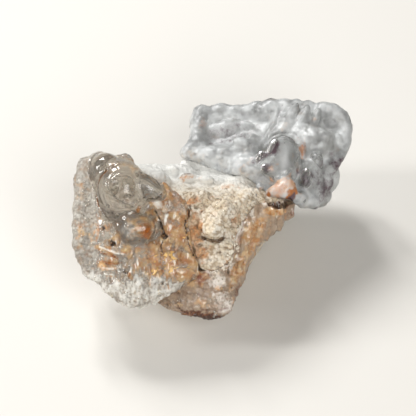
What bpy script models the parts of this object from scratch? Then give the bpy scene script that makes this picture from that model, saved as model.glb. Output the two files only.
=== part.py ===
"""Hyalite opal specimen: two glassy, knobbly lobes on a saddle of pale host rock.

It stands as it is shown, with its display side towards -Y and its broken underside on the table.
The forms are laid out in a plane that leans back as the eye meets it, in millimetres:
right, up in that plane, and out towards the eye. spot() turns them into the resting frame, in metres.
"""

import math
import random

import bmesh
import bpy
from mathutils import Euler, Matrix, Vector

MM = 0.001

# Lie of the layout plane
LEAN = math.radians(42)  # the eye looks down this far on to the stone
RISE = 13.2  # height of the plane's middle over the table
BACK = -14.6  # the same point's place front to back, before the stone is centred

# Meshing: the whole stone is grown together, parted, and then thinned piece by piece
CELL = 0.3  # grain at which the knobs grow together
SOFTENING = 2
KNOB_DETAIL = 3
NEAR_FACES = 3250
FAR_FACES = 3050
STAINED_FACES = 900
ROCK_FACES = 2850

# Seams between the opals and the host rock
SEAM = 0.3  # gap that keeps neighbouring pieces apart
SEAM_WANDER = 0.45  # how far a seam strays from its outline, and over what length
SEAM_GRAIN = 4.8
SEAM_CELL = 1.2  # its mesh
SEAM_SOLVER = "MANIFOLD"  # the exact solver leaves open edges on seams that wander
FRONT_REACH = 4.0  # a region's outline starts this far out towards the eye

# Crumbly surface of the host rock, worn inwards only
CRUMB_DEPTH = 0.34
CRUMB_GRAIN = 1.3
RUBBLE = 34  # broken corners round the base
RUBBLE_SIZE = 1.9
RUBBLE_CORNERS = 9
RUBBLE_REACH = (0.4, 5.0)  # heights between which they lie
RUBBLE_SINK = 1.3
STONE_MIDDLE = (-0.4, -5.6)

# Broken face that the stone rests on: right and back, at table height
BASE_OUTLINE = (
    (-6.6, -12.6),
    (-1.0, -13.9),
    (2.4, -12.9),
    (3.7, -8.8),
    (4.9, -5.6),
    (7.4, -1.4),
    (7.2, 0.8),
    (1.8, 1.4),
    (-4.6, -0.6),
    (-7.8, -6.4),
)
BASE_DEPTH = 0.6  # taken off under the broken face
BASE_CUT = 80.0  # side of the block that takes it off

# Where each opal ends, as (right, up) corners in the layout plane, clockwise from the upper left
NEAR_FRONT = (
    (-8.5, 9.0),
    (-8.2, 5.1),
    (-5.8, 2.6),
    (-4.9, 2.9),
    (-3.3, 1.6),
    (-1.7, 0.3),
    (-2.0, -1.4),
    (-1.6, -3.5),
    (-0.9, -5.4),
    (-0.2, -6.6),
    (-3.2, -8.3),
    (-6.1, -10.0),
    (-8.0, -13.0),
    (-17.0, -11.0),
    (-17.0, 9.0),
)
NEAR_BACK = (
    (-9.8, 9.0),
    (-9.4, 5.2),
    (-8.0, 3.2),
    (-7.6, 2.8),
    (-6.5, 1.4),
    (-5.5, 0.2),
    (-5.6, -1.6),
    (-5.2, -3.6),
    (-5.0, -5.2),
    (-4.8, -6.2),
    (-6.0, -7.6),
    (-8.0, -8.8),
    (-8.6, -13.0),
    (-17.0, -11.0),
    (-17.0, 9.0),
)
NEAR_FACE = -1.0
NEAR_DEPTH = -10.0

FAR_FRONT = (
    (-6.0, 14.0),
    (-6.0, 5.6),
    (-2.9, 5.0),
    (-0.8, 3.9),
    (1.8, 3.3),
    (3.9, 3.2),
    (4.6, 2.6),
    (5.3, 2.0),
    (6.3, 1.2),
    (7.6, 0.7),
    (8.9, 1.2),
    (9.4, 0.2),
    (9.9, -1.0),
    (12.0, -3.0),
    (19.0, 0.0),
    (19.0, 14.0),
)
FAR_BACK = (
    (-6.0, 16.0),
    (-6.0, 7.6),
    (-2.9, 7.4),
    (-0.8, 7.0),
    (1.8, 6.6),
    (3.9, 6.2),
    (4.6, 5.8),
    (5.3, 5.4),
    (6.3, 5.0),
    (7.6, 4.6),
    (8.9, 4.4),
    (9.4, 4.2),
    (9.9, 4.0),
    (12.0, 1.0),
    (19.0, 1.0),
    (19.0, 16.0),
)
FAR_FACE = -8.0
FAR_DEPTH = -22.0

STAINED_FRONT = (
    (-7.0, -9.0),
    (-3.0, -7.6),
    (-0.3, -6.0),
    (1.0, -6.3),
    (2.3, -6.0),
    (2.5, -3.8),
    (3.2, -1.4),
    (3.5, 0.8),
    (4.2, 2.8),
    (6.4, 2.4),
    (8.0, 1.8),
    (9.6, 1.4),
    (12.0, 0.0),
    (12.0, -14.0),
    (-8.0, -14.0),
)
STAINED_BACK = (
    (-7.0, -12.8),
    (-3.0, -11.8),
    (-0.3, -11.0),
    (1.0, -10.2),
    (2.4, -9.2),
    (3.4, -7.0),
    (4.8, -4.6),
    (6.4, -2.6),
    (7.6, -1.4),
    (8.6, -0.8),
    (9.6, -0.4),
    (10.4, -0.4),
    (12.0, -1.0),
    (12.0, -14.0),
    (-8.0, -14.0),
)
STAINED_FACE = -1.5
STAINED_DEPTH = -8.0

# Linear red, green, blue
NEAR_COLOUR = (0.50, 0.42, 0.33)
FAR_COLOUR = (0.52, 0.52, 0.50)
STAINED_COLOUR = (0.38, 0.19, 0.10)
ROCK_COLOUR = (0.64, 0.55, 0.41)

# Roughness, and how much light passes through
NEAR_FINISH = (0.12, 0.6)
FAR_FINISH = (0.2, 0.4)
STAINED_FINISH = (0.25, 0.3)
ROCK_FINISH = (0.85, 0.0)
OPAL_IOR = 1.45
BREAK_ANGLE = math.radians(38)  # edges sharper than this are shaded as breaks


def spot(right, up, out):
    """A point of the leaning layout plane, in the resting frame."""
    back = BACK + up * math.sin(LEAN) - out * math.cos(LEAN)
    high = RISE + up * math.cos(LEAN) + out * math.sin(LEAN)
    return Vector((right, back, high)) * MM


def lump(body, centre, size, turn=0.0):
    """One rounded knob: centre and half sizes in the layout plane, turned in that plane by degrees."""
    half = Vector(size if isinstance(size, tuple) else (size, size, size)) * MM
    facing = Euler((math.radians(90) - LEAN, 0, 0)).to_matrix().to_4x4()
    turned = Matrix.Rotation(math.radians(turn), 4, "Z")
    place = Matrix.Translation(spot(*centre)) @ facing @ turned @ Matrix.Diagonal((*half, 1))
    bmesh.ops.create_icosphere(body, subdivisions=KNOB_DETAIL, radius=1, matrix=place)


def lumps(body, knobs):
    for centre, size, turn in knobs:
        lump(body, centre, size, turn)


def ridge(body, start, end, radius, beads):
    """A rounded ridge, as a row of knobs that run into each other."""
    for step in range(beads):
        share = step / (beads - 1)
        centre = tuple(a + (b - a) * share for a, b in zip(start, end))
        lump(body, centre, radius)


def block(body, corners):
    """A broken block with flat faces, through corners in the layout plane."""
    hull(body, [spot(*corner) for corner in corners])


def hull(body, points):
    made = [body.verts.new(point) for point in points]
    found = bmesh.ops.convex_hull(body, input=made)
    spare = [v for v in found["geom_interior"] if isinstance(v, bmesh.types.BMVert)]
    bmesh.ops.delete(body, geom=spare, context="VERTS")


def solid(name, body):
    """An object from a bmesh, with its faces pointing out."""
    bmesh.ops.recalc_face_normals(body, faces=body.faces[:])
    mesh = bpy.data.meshes.new(name)
    body.to_mesh(mesh)
    body.free()
    made = bpy.data.objects.new(name, mesh)
    bpy.context.scene.collection.objects.link(made)
    return made


def near_lobe(body):
    """The big clear lobe at the front left: a broken block under a crust of domes."""
    block(
        body,
        (
            (-11.6, 3.6, -1.2),
            (-9.6, 4.6, -3.0),
            (-6.4, 3.2, -2.6),
            (-3.6, 1.0, -1.2),
            (-2.0, -0.6, -0.7),
            (-0.9, -4.4, 0.0),
            (-0.4, -6.4, 0.2),
            (-6.1, -9.6, 0.4),
            (-8.2, -9.3, 0.0),
            (-11.6, -6.4, -0.6),
            (-12.6, -1.7, -1.2),
            (-10.9, 1.0, -0.4),
            (-10.6, -5.0, 0.4),
            (-6.8, -6.0, 0.9),
            (-10.6, 3.0, -7.0),
            (-12.0, -2.0, -7.0),
            (-9.6, -6.0, -6.6),
            (-4.6, -7.6, -6.0),
            (-1.6, -5.0, -8.0),
            (-3.0, 1.4, -8.0),
        ),
    )
    near_domes(body)
    near_plates(body)
    near_rind(body)


def near_domes(body):
    knobs = (
        ((-8.6, 1.9, -0.5), (2.6, 2.9, 2.4), 0),  # main dome
        ((-8.9, -0.3, -0.5), (1.9, 1.5, 1.3), -30),  # its belly
        ((-5.7, 1.8, -0.2), (1.5, 0.85, 1.0), -32),  # its nose
        ((-10.2, 3.8, -1.4), (1.6, 1.7, 1.9), 0),  # dome behind it
        ((-10.7, 4.4, -2.4), (1.4, 1.4, 1.4), 0),  # crown of the crust
        ((-8.6, 4.4, -2.8), (1.7, 1.05, 1.6), 0),
        ((-8.05, 0.8, 1.5), (0.6, 0.6, 0.6), 0),  # bead low on the dome
        ((-9.5, 2.4, 1.25), (0.95, 1.0, 0.8), 0),  # swellings inside the dome's ring
        ((-8.1, 2.3, 1.3), (0.85, 0.95, 0.75), 0),
        ((-7.3, -2.0, 0.45), (1.65, 1.5, 1.25), 12),  # egg below the dome
    )
    lumps(body, knobs)


def near_plates(body):
    """Cracked amber glass right of the egg and below it, in ribs and plates."""
    ridge(body, (-5.4, 2.2, -1.4), (-1.9, -0.3, -0.7), 0.75, 7)  # shoulder down to the crack
    ridge(body, (-5.0, -0.4, 0.1), (-3.6, -2.0, 0.3), 0.5, 5)
    ridge(body, (-3.5, -0.8, -0.2), (-4.1, -3.2, 0.3), 0.55, 5)
    ridge(body, (-10.8, -4.0, 0.1), (-8.3, -4.5, 0.7), 0.45, 6)
    ridge(body, (-10.6, -6.2, -0.1), (-9.0, -6.3, 0.4), 0.5, 4)
    knobs = (
        ((-2.6, -2.6, -0.1), (0.8, 1.5, 0.6), 8),
        ((-3.6, -5.3, 0.5), (0.8, 1.3, 0.6), -12),
        ((-5.1, -4.7, 0.7), (0.65, 1.3, 0.6), 12),
        ((-6.4, -4.7, 0.8), (0.75, 1.2, 0.6), -14),
        ((-1.8, -5.4, 0.1), (0.8, 1.2, 0.6), 18),
        ((-10.2, -2.4, 0.2), (0.8, 1.2, 0.7), 10),
    )
    lumps(body, knobs)


def near_rind(body):
    """Frosted crust down the left side and along the lower edge."""
    left_edge = (
        ((-12.1, 4.0, -2.4), 1.25),
        ((-12.45, 2.7, -2.2), 1.2),
        ((-12.5, 1.3, -2.0), 1.15),
        ((-12.6, -0.1, -1.7), 1.2),
        ((-12.6, -1.7, -1.6), 1.25),
        ((-12.5, -3.3, -1.5), 1.25),
        ((-12.2, -4.7, -1.5), 1.25),
        ((-11.6, -6.1, -1.4), 1.25),
    )
    for centre, radius in left_edge:
        lump(body, centre, radius)
    knobs = (
        ((-10.5, -6.8, -0.8), (1.15, 1.1, 1.1), 0),
        ((-9.5, -7.7, -0.6), (1.1, 1.1, 1.1), 0),
        ((-8.6, -8.5, -0.4), (1.1, 1.1, 1.1), 0),
        ((-7.6, -8.95, -0.3), (1.15, 1.15, 1.1), 0),
        ((-6.7, -8.95, -0.1), (1.05, 1.1, 1.0), 0),
        ((-8.0, -7.0, 0.6), (1.0, 0.8, 0.7), 25),
        ((-6.5, -7.7, 0.6), (0.8, 0.9, 0.7), 0),
        ((-4.6, -7.4, 0.2), (1.3, 0.6, 0.6), 28),
        ((-3.0, -6.8, 0.2), (1.0, 0.6, 0.5), 30),
    )
    lumps(body, knobs)
    sizes = random.Random(11)
    for step in range(34):  # small knobs round the back of the crust
        angle = math.radians(60 + step * 6.4)
        depth = -4.8 + 2.3 * math.sin(step * 2.4)
        centre = (-7.4 + 4.9 * math.cos(angle), -1.6 + 5.0 * math.sin(angle), depth)
        lump(body, centre, 1.1 + 0.5 * sizes.random())


def saddle(body):
    """Host rock between the lobes, and down to the table."""
    block(
        body,
        (
            (-8.2, 3.4, -6.0),
            (-7.6, 3.9, -9.0),
            (-2.4, 4.0, -9.4),
            (0.6, 4.6, -12.5),
            (-3.2, 1.6, -3.4),
            (-1.4, -0.6, -1.0),
            (0.2, -0.6, -0.7),
            (2.2, -0.6, -1.0),
            (2.9, 1.0, -2.2),
            (5.0, 1.4, -4.4),
            (-0.2, -5.8, -0.4),
            (2.3, -5.6, -0.6),
            (2.6, -3.0, -0.8),
            (8.8, 0.6, -8.4),
            (9.8, 1.6, -13.0),
            (0.0, 2.0, -16.0),
        ),
    )
    waist = (
        (-9.2, -4.8, -5.4),
        (-9.0, 1.0, -8.4),
        (-2.6, 3.2, -12.0),
        (4.0, 4.0, -14.0),
        (9.2, 1.6, -10.4),
        (5.2, -2.6, -4.6),
        (3.2, -6.2, -3.6),
        (0.6, -8.2, -3.0),
        (-5.0, -8.4, -4.0),
    )
    keel = [Vector((right, back, -BASE_DEPTH)) * MM for right, back in BASE_OUTLINE]
    hull(body, keel + [spot(*point) for point in waist])
    rubble(body)
    knobs = (
        ((0.5, -1.9, -0.75), (1.5, 1.35, 1.25), 0),  # crumbly boss over its hollow
        ((1.6, -0.2, -1.4), (1.3, 1.3, 1.0), 0),
        ((-0.9, 0.9, -2.4), (1.5, 1.2, 1.1), 0),
        ((1.0, -5.6, -0.3), (1.2, 1.4, 0.8), 0),
        ((2.2, -4.2, -0.8), (0.8, 1.2, 0.8), 0),
        ((-2.0, 3.0, -6.4), (1.05, 0.8, 1.0), 0),  # two glassy beads on the saddle
        ((-0.3, 2.9, -6.2), (1.05, 0.8, 1.0), 0),
        ((-5.2, 3.85, -7.6), (2.6, 0.8, 1.6), 0),  # the saddle's crest
        ((-3.2, 3.7, -8.6), (2.2, 1.0, 1.8), 0),
        ((2.6, 1.8, -5.2), (1.6, 1.3, 1.2), 0),
    )
    lumps(body, knobs)


def rubble(body):
    """Broken corners all round the base, as small sharp blocks sunk into its sides."""
    chance = random.Random(23)
    corners = len(BASE_OUTLINE)
    for step in range(RUBBLE):
        side, share = divmod(step * corners / RUBBLE, 1)
        one = Vector(BASE_OUTLINE[int(side)])
        two = Vector(BASE_OUTLINE[(int(side) + 1) % corners])
        edge = one.lerp(two, share)
        edge += (Vector(STONE_MIDDLE) - edge).normalized() * RUBBLE_SINK
        middle = Vector((*edge, chance.uniform(*RUBBLE_REACH)))
        points = []
        for _ in range(RUBBLE_CORNERS):
            away = Vector([chance.uniform(-1, 1) for _ in range(3)]).normalized()
            points.append((middle + away * RUBBLE_SIZE * chance.uniform(0.7, 1.0)) * MM)
        hull(body, points)


def foot(body):
    """Stained opal at the front, under the near lobe's overhang."""
    block(
        body,
        (
            (-6.2, -9.6, -0.8),
            (-4.2, -10.2, -0.9),
            (-1.6, -11.0, -0.8),
            (0.6, -11.4, -0.9),
            (2.0, -10.7, -1.0),
            (2.6, -9.9, -1.0),
            (2.7, -6.6, -0.9),
            (-0.2, -6.2, -0.6),
            (-1.4, -8.6, -0.2),
            (1.2, -9.6, -0.1),
            (-6.0, -8.0, -5.0),
            (-1.0, -9.6, -5.6),
            (2.6, -8.4, -5.0),
        ),
    )
    lump(body, (1.5, -9.2, -1.0), (1.15, 1.7, 1.0))
    lump(body, (0.6, -10.4, -1.3), (1.3, 0.8, 0.9), turn=10)


def flank(body):
    """Amber side of the rock, from the foot up to the far lobe."""
    block(
        body,
        (
            (2.4, 0.2, -1.6),
            (2.5, -6.4, -1.4),
            (2.75, -9.4, -2.2),
            (3.3, -8.0, -2.2),
            (3.9, -6.0, -2.4),
            (4.6, -4.6, -2.7),
            (5.1, -3.6, -3.2),
            (3.4, 1.0, -2.8),
            (2.6, -7.4, -5.2),
            (4.2, -4.6, -6.0),
            (3.0, 2.0, -6.0),
        ),
    )
    block(
        body,
        (
            (2.8, 0.4, -1.8),
            (3.4, -4.0, -2.2),
            (4.6, -4.4, -2.7),
            (5.4, -3.3, -3.2),
            (6.3, -2.4, -4.0),
            (8.5, -1.1, -5.8),
            (9.4, 0.6, -6.6),
            (4.4, 1.8, -3.6),
            (4.4, -3.6, -6.6),
            (8.4, -0.8, -9.0),
            (3.0, 2.6, -8.0),
        ),
    )
    ridge(body, (2.8, -7.6, -1.8), (4.0, -2.4, -2.1), 0.65, 7)
    ridge(body, (4.6, -2.2, -2.6), (7.4, 0.1, -4.8), 0.85, 6)
    ridge(body, (3.4, 0.6, -2.6), (4.6, 1.9, -4.2), 0.6, 4)


def far_lobe(body):
    """Milky lobe at the back right, knobbly all over."""
    block(
        body,
        (
            (-1.6, 5.0, -10.4),
            (-0.8, 9.2, -13.6),
            (0.4, 9.8, -14.2),
            (4.0, 9.8, -13.8),
            (8.0, 10.6, -13.2),
            (12.0, 9.8, -12.6),
            (14.0, 8.4, -12.0),
            (14.0, 6.0, -11.4),
            (11.6, 2.2, -9.4),
            (10.0, 0.2, -8.9),
            (7.0, 1.4, -7.4),
            (3.0, 3.4, -8.4),
            (6.6, 6.4, -9.6),
            (0.0, 5.4, -17.0),
            (6.0, 8.0, -18.6),
            (12.0, 6.4, -17.6),
            (11.6, 3.4, -15.6),
            (4.0, 3.0, -17.0),
        ),
    )
    far_crown(body)
    far_front(body)
    far_back(body)


def far_crown(body):
    """Knobs along the skyline, from the left column to the right rim."""
    ridge(body, (-0.7, 9.9, -13.6), (-1.0, 6.8, -12.0), 1.05, 7)  # column
    ridge(body, (-1.2, 6.4, -11.6), (-2.1, 5.3, -10.6), 1.1, 4)
    ridge(body, (0.4, 10.0, -13.8), (5.0, 10.2, -13.4), 0.85, 8)  # brow
    ridge(body, (14.5, 8.6, -12.0), (14.3, 6.9, -11.6), 0.75, 4)  # rim
    ridge(body, (14.2, 6.6, -11.5), (12.6, 3.9, -10.2), 0.8, 6)
    skyline = (
        ((1.5, 10.5, -13.9), (0.6, 0.65, 0.7), 0),
        ((5.2, 10.3, -13.2), (1.1, 1.05, 1.2), 0),
        ((6.6, 10.6, -13.0), (1.1, 1.0, 1.2), 0),
        ((8.1, 10.7, -12.9), (0.9, 0.9, 1.1), 0),
        ((12.0, 10.35, -12.6), (0.9, 0.9, 1.1), 0),
        ((13.0, 10.1, -12.4), (0.95, 0.95, 1.1), 0),
        ((13.9, 9.5, -12.2), (1.0, 0.95, 1.1), 0),
        ((12.0, 2.9, -9.8), (0.8, 0.9, 0.8), 0),
        ((11.5, 1.6, -9.3), (0.8, 0.9, 0.8), 0),
        ((11.0, 0.6, -9.0), (0.8, 0.85, 0.8), 0),
    )
    lumps(body, skyline)
    fingers = (
        ((9.3, 11.0, -12.8), (7.4, 7.6, -9.9), 0.6),
        ((10.5, 10.8, -12.6), (8.9, 7.6, -10.2), 0.62),
        ((8.0, 10.6, -12.6), (6.0, 6.6, -9.5), 0.6),
        ((11.4, 9.8, -12.2), (10.2, 8.0, -10.8), 0.6),
    )
    for start, end, radius in fingers:
        ridge(body, start, end, radius, 8)


def far_front(body):
    """Front of the far lobe: a clear nose, its beads, and the pane beside it."""
    knobs = (
        ((7.7, 4.9, -7.9), (1.8, 2.6, 1.5), -10),  # clear nose
        ((8.0, 1.9, -6.4), (1.25, 1.3, 1.1), 0),  # its glowing tip
        ((1.6, 5.2, -10.0), (2.8, 1.3, 1.4), -10),  # pale slope to the left
        ((3.6, 6.0, -9.8), (2.2, 1.6, 1.4), 35),
        ((4.2, 4.2, -8.4), (2.0, 1.4, 1.2), 0),
        ((10.7, 6.6, -10.4), (2.3, 2.0, 1.4), 0),  # pane to the right
        ((10.3, 3.2, -8.8), (1.5, 1.9, 1.1), 0),
        ((10.0, 0.9, -8.5), (1.5, 1.0, 1.0), 0),
        ((6.8, 6.2, -7.1), (0.5, 0.85, 0.55), -28),  # beads round the nose
        ((5.5, 5.2, -7.4), (0.55, 0.8, 0.55), -30),
        ((6.0, 4.0, -7.0), (0.6, 0.6, 0.5), 0),
        ((5.3, 2.2, -5.6), (0.5, 0.5, 0.5), 0),
        ((4.7, 1.2, -4.6), (0.45, 0.45, 0.45), 0),
        ((11.3, 4.9, -8.8), (0.7, 0.9, 0.6), 15),
        ((10.0, 3.0, -7.7), (0.65, 0.9, 0.6), -10),
        ((11.0, 7.2, -9.3), (0.6, 0.6, 0.6), 0),
        ((12.6, 7.6, -10.4), (0.7, 0.6, 0.6), 0),
        ((9.5, 0.9, -7.4), (0.7, 0.8, 0.6), -20),
    )
    lumps(body, knobs)


def far_back(body):
    """Knobs over the back and the shaded right side."""
    lump(body, (12.2, 3.4, -12.6), (1.7, 2.0, 1.9))  # violet underside
    lump(body, (11.6, 1.4, -11.4), (1.4, 1.4, 1.6))
    sizes = random.Random(5)
    for row, depth in enumerate((-14.6, -16.2, -17.6)):
        for step in range(9):
            right = -0.6 + step * 1.65 + 0.8 * (row % 2)
            up = 8.8 - 1.2 * row + 0.7 * math.sin(step * 1.9 + row)
            out = depth + 0.4 * sizes.random()
            lump(body, (right, up, out), 1.15 + 0.45 * sizes.random())


def hollows():
    """Pits and hollows, to be taken out of the fused stone: centre, half sizes, turn."""
    shapes = (
        ((0.6, -3.45, 0.1), (1.2, 0.34, 0.9), 8),  # under the crumbly boss
        ((2.3, 7.3, -9.6), (2.1, 1.05, 1.3), -4),  # grey window under the brow
        ((7.6, 0.2, -5.0), (1.15, 0.55, 1.0), 14),  # amber hollow under the nose
    )
    body = bmesh.new()
    lumps(body, shapes)
    start = (7.9, 10.2, -11.5)
    end = (5.4, 6.4, -7.9)
    ridge(body, start, end, 0.42, 12)  # groove from the skyline to the nose
    return body


def fused(body):
    """Everything grown together into one skin."""
    made = solid("stone", body)
    remesh = made.modifiers.new("fuse", "REMESH")
    remesh.mode = "VOXEL"
    remesh.voxel_size = CELL * MM
    smooth = made.modifiers.new("soften", "SMOOTH")
    smooth.factor = 0.5
    smooth.iterations = SOFTENING
    return applied(made)


def applied(made):
    """The object with its modifiers worked into its mesh."""
    bpy.context.view_layer.update()
    graph = bpy.context.evaluated_depsgraph_get()
    mesh = bpy.data.meshes.new_from_object(made.evaluated_get(graph))
    made.modifiers.clear()
    made.data = mesh
    return made


def thinned(made, faces):
    """The same skin with about this many triangles."""
    made.data.calc_loop_triangles()
    decimate = made.modifiers.new("thin", "DECIMATE")
    decimate.ratio = faces / len(made.data.loop_triangles)
    decimate.use_collapse_triangulate = True
    return applied(made)


def boolean(made, other, operation, solver="EXACT"):
    """Cut the object with another closed mesh, or keep only what lies inside it."""
    step = made.modifiers.new(other.name, "BOOLEAN")
    step.operation = operation
    step.solver = solver
    step.object = other
    applied(made)


def dropped(made):
    mesh = made.data
    bpy.data.objects.remove(made)
    bpy.data.meshes.remove(mesh)


def region(name, front, back, face, depth, grown=0.0):
    """A closed region with wandering sides: straight in to its face, then on to the back outline.

    Both outlines are (right, up) corners in the layout plane. grown moves its skin out, in mm.
    """
    body = bmesh.new()
    rings = []
    for outline, out in ((front, FRONT_REACH), (front, face), (back, depth)):
        rings.append([body.verts.new(spot(right, up, out)) for right, up in outline])
    for one, two in zip(rings, rings[1:]):
        for step in range(len(one)):
            after = (step + 1) % len(one)
            body.faces.new((one[step], one[after], two[after], two[step]))
    body.faces.new(rings[0])
    body.faces.new(rings[-1])
    made = solid(name, body)
    made.display_type = "WIRE"
    made.hide_render = True
    finer = made.modifiers.new("finer", "REMESH")
    finer.mode = "VOXEL"
    finer.voxel_size = SEAM_CELL * MM
    wander = made.modifiers.new("wander", "DISPLACE")
    wander.texture = clouds("seam", SEAM_GRAIN)
    wander.texture_coords = "GLOBAL"
    wander.strength = SEAM_WANDER * MM
    wander.mid_level = 0.5
    if grown:
        grow = made.modifiers.new("grow", "DISPLACE")
        grow.strength = grown * MM
        grow.mid_level = 0
    return applied(made)


def clouds(name, grain):
    texture = bpy.data.textures.get(name) or bpy.data.textures.new(name, "CLOUDS")
    texture.noise_scale = grain * MM
    return texture


def crumbled(made):
    """A rough face worn into the rock, nowhere outside what it was."""
    wear = made.modifiers.new("wear", "DISPLACE")
    wear.texture = clouds("crumbs", CRUMB_GRAIN)
    wear.texture_coords = "GLOBAL"
    wear.strength = CRUMB_DEPTH * MM
    wear.mid_level = 1.0
    return applied(made)


def material(name, colour, roughness, clear):
    made = bpy.data.materials.new(name)
    made.use_nodes = True
    made.diffuse_color = (*colour, 1)
    shader = made.node_tree.nodes["Principled BSDF"]
    shader.inputs["Base Color"].default_value = (*colour, 1)
    shader.inputs["Roughness"].default_value = roughness
    shader.inputs["Metallic"].default_value = 0.0
    shader.inputs["Transmission Weight"].default_value = clear
    shader.inputs["IOR"].default_value = OPAL_IOR
    return made


def copied(made, name):
    twin = bpy.data.objects.new(name, made.data.copy())
    bpy.context.scene.collection.objects.link(twin)
    return twin


def largest(made):
    """Only the biggest connected body of a mesh, so that no crumb is left over from a cut."""
    body = bmesh.new()
    body.from_mesh(made.data)
    seen = set()
    groups = []
    for first in body.faces:
        if first in seen:
            continue
        seen.add(first)
        group = [first]
        for face in group:
            for edge in face.edges:
                for other in edge.link_faces:
                    if other not in seen:
                        seen.add(other)
                        group.append(other)
        groups.append(group)
    groups.sort(key=lambda group: sum(face.calc_area() for face in group))
    for group in groups[:-1]:
        bmesh.ops.delete(body, geom=group, context="FACES")
    bmesh.ops.triangulate(body, faces=body.faces[:])
    body.to_mesh(made.data)
    body.free()


def finished(made, colour, finish):
    """Material, one body, smooth shading with its breaks kept sharp."""
    largest(made)
    made.data.materials.clear()
    made.data.materials.append(material(made.name, colour, *finish))
    made.data.shade_smooth()
    made.data.set_sharp_from_angle(angle=BREAK_ANGLE)


def centred(pieces):
    """Origin at the middle of the stone's box, at table height."""
    corners = [vertex.co for piece in pieces for vertex in piece.data.vertices]
    lows = [min(corner[axis] for corner in corners) for axis in range(3)]
    highs = [max(corner[axis] for corner in corners) for axis in range(3)]
    away = Vector(((lows[0] + highs[0]) / 2, (lows[1] + highs[1]) / 2, lows[2]))
    print("Centred by", tuple(round(value / MM, 3) for value in away), "mm")
    for piece in pieces:
        piece.data.transform(Matrix.Translation(-away))


def grown_stone():
    """The whole stone in one skin, with its hollows taken out."""
    body = bmesh.new()
    near_lobe(body)
    saddle(body)
    foot(body)
    flank(body)
    far_lobe(body)
    stone = fused(body)
    pits = solid("pits", hollows())
    join = pits.modifiers.new("join", "REMESH")
    join.mode = "VOXEL"
    join.voxel_size = CELL / 2 * MM
    applied(pits)
    boolean(stone, pits, "DIFFERENCE")
    dropped(pits)
    return stone


def parted(stone):
    """The three opals and the rock, with a narrow seam between neighbours."""
    near = copied(stone, "near_hyalite")
    far = copied(stone, "far_hyalite")
    stained = copied(stone, "stained_opal")
    rock = copied(stone, "host_rock")
    dropped(stone)
    near_shape = ("near_region", NEAR_FRONT, NEAR_BACK, NEAR_FACE, NEAR_DEPTH)
    far_shape = ("far_region", FAR_FRONT, FAR_BACK, FAR_FACE, FAR_DEPTH)
    stained_shape = ("stained_region", STAINED_FRONT, STAINED_BACK, STAINED_FACE, STAINED_DEPTH)
    for piece, shape in ((near, near_shape), (far, far_shape), (stained, stained_shape)):
        cutter = region(*shape)
        boolean(piece, cutter, "INTERSECT", SEAM_SOLVER)
        dropped(cutter)
    for shape, others in (
        (near_shape, (far, stained, rock)),
        (far_shape, (stained, rock)),
        (stained_shape, (rock,)),
    ):
        for piece in others:
            cutter = region(*shape, grown=SEAM)
            boolean(piece, cutter, "DIFFERENCE", SEAM_SOLVER)
            dropped(cutter)
    return near, far, stained, rock


def rested(rock):
    """The rock cut off flat at table height."""
    under = bmesh.new()
    low = Matrix.Translation((0, 0, -BASE_CUT / 2 * MM)) @ Matrix.Scale(BASE_CUT * MM, 4)
    bmesh.ops.create_cube(under, size=1, matrix=low)
    table = solid("table_cut", under)
    boolean(rock, table, "DIFFERENCE", SEAM_SOLVER)
    dropped(table)


def main():
    for old in list(bpy.data.objects):
        bpy.data.objects.remove(old)
    near, far, stained, rock = parted(grown_stone())
    for piece in (near, far, stained, rock):
        largest(piece)
    crumbled(rock)
    thinned(near, NEAR_FACES)
    thinned(far, FAR_FACES)
    thinned(stained, STAINED_FACES)
    thinned(rock, ROCK_FACES)
    rested(rock)
    finished(near, NEAR_COLOUR, NEAR_FINISH)
    finished(far, FAR_COLOUR, FAR_FINISH)
    finished(stained, STAINED_COLOUR, STAINED_FINISH)
    finished(rock, ROCK_COLOUR, ROCK_FINISH)
    centred((near, far, stained, rock))


main()
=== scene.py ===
import math
import random

import bpy
import numpy as np
from mathutils import Matrix, Vector, noise
from mathutils.bvhtree import BVHTree


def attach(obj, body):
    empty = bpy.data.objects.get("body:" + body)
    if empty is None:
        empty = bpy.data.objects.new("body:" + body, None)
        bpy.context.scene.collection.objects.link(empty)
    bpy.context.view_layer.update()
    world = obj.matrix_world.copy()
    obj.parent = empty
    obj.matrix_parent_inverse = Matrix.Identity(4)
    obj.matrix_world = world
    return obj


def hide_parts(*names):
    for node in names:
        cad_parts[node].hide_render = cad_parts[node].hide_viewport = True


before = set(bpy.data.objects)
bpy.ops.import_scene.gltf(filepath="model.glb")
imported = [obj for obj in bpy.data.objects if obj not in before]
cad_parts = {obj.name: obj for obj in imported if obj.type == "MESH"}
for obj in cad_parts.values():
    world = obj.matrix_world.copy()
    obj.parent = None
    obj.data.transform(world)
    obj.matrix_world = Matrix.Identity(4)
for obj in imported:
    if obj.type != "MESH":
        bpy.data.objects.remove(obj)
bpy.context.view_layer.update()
bpy.ops.object.select_all(action="DESELECT")
print("frame loaded")

mm = 0.001
warpSeed = 1
noise.seed_set(warpSeed)  # noise_vector starts from the clock otherwise, and each run would differ

# The stone is looked down on at a slant. Places on it are given in the plane that the eye meets square on,
# in mm: right, up, and out towards the eye. The plane's middle is the middle of the picture.
view = {
    "leanDegrees": 42.0,
    "eyeDistance": 260.0,
    "planeMiddle": (-0.677, -6.196, 13.2),
    "lens": 225.0,
    "sensorWidth": 36.0,
}
lean = math.radians(view["leanDegrees"])
rightAxis = Vector((1, 0, 0))
upAxis = Vector((0, math.sin(lean), math.cos(lean)))
outAxis = Vector((0, -math.cos(lean), math.sin(lean)))
planeMiddle = Vector(view["planeMiddle"]) * mm
facing = Matrix((rightAxis, upAxis, outAxis)).transposed()


def spot(right, up, out=0.0):
    return planeMiddle + (rightAxis * right + upAxis * up + outAxis * out) * mm


eye = spot(0, 0, view["eyeDistance"])


# Small helpers for objects

def selectOnly(*things):
    bpy.ops.object.select_all(action="DESELECT")
    for thing in things:
        thing.select_set(True)
    bpy.context.view_layer.objects.active = things[-1]


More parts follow.
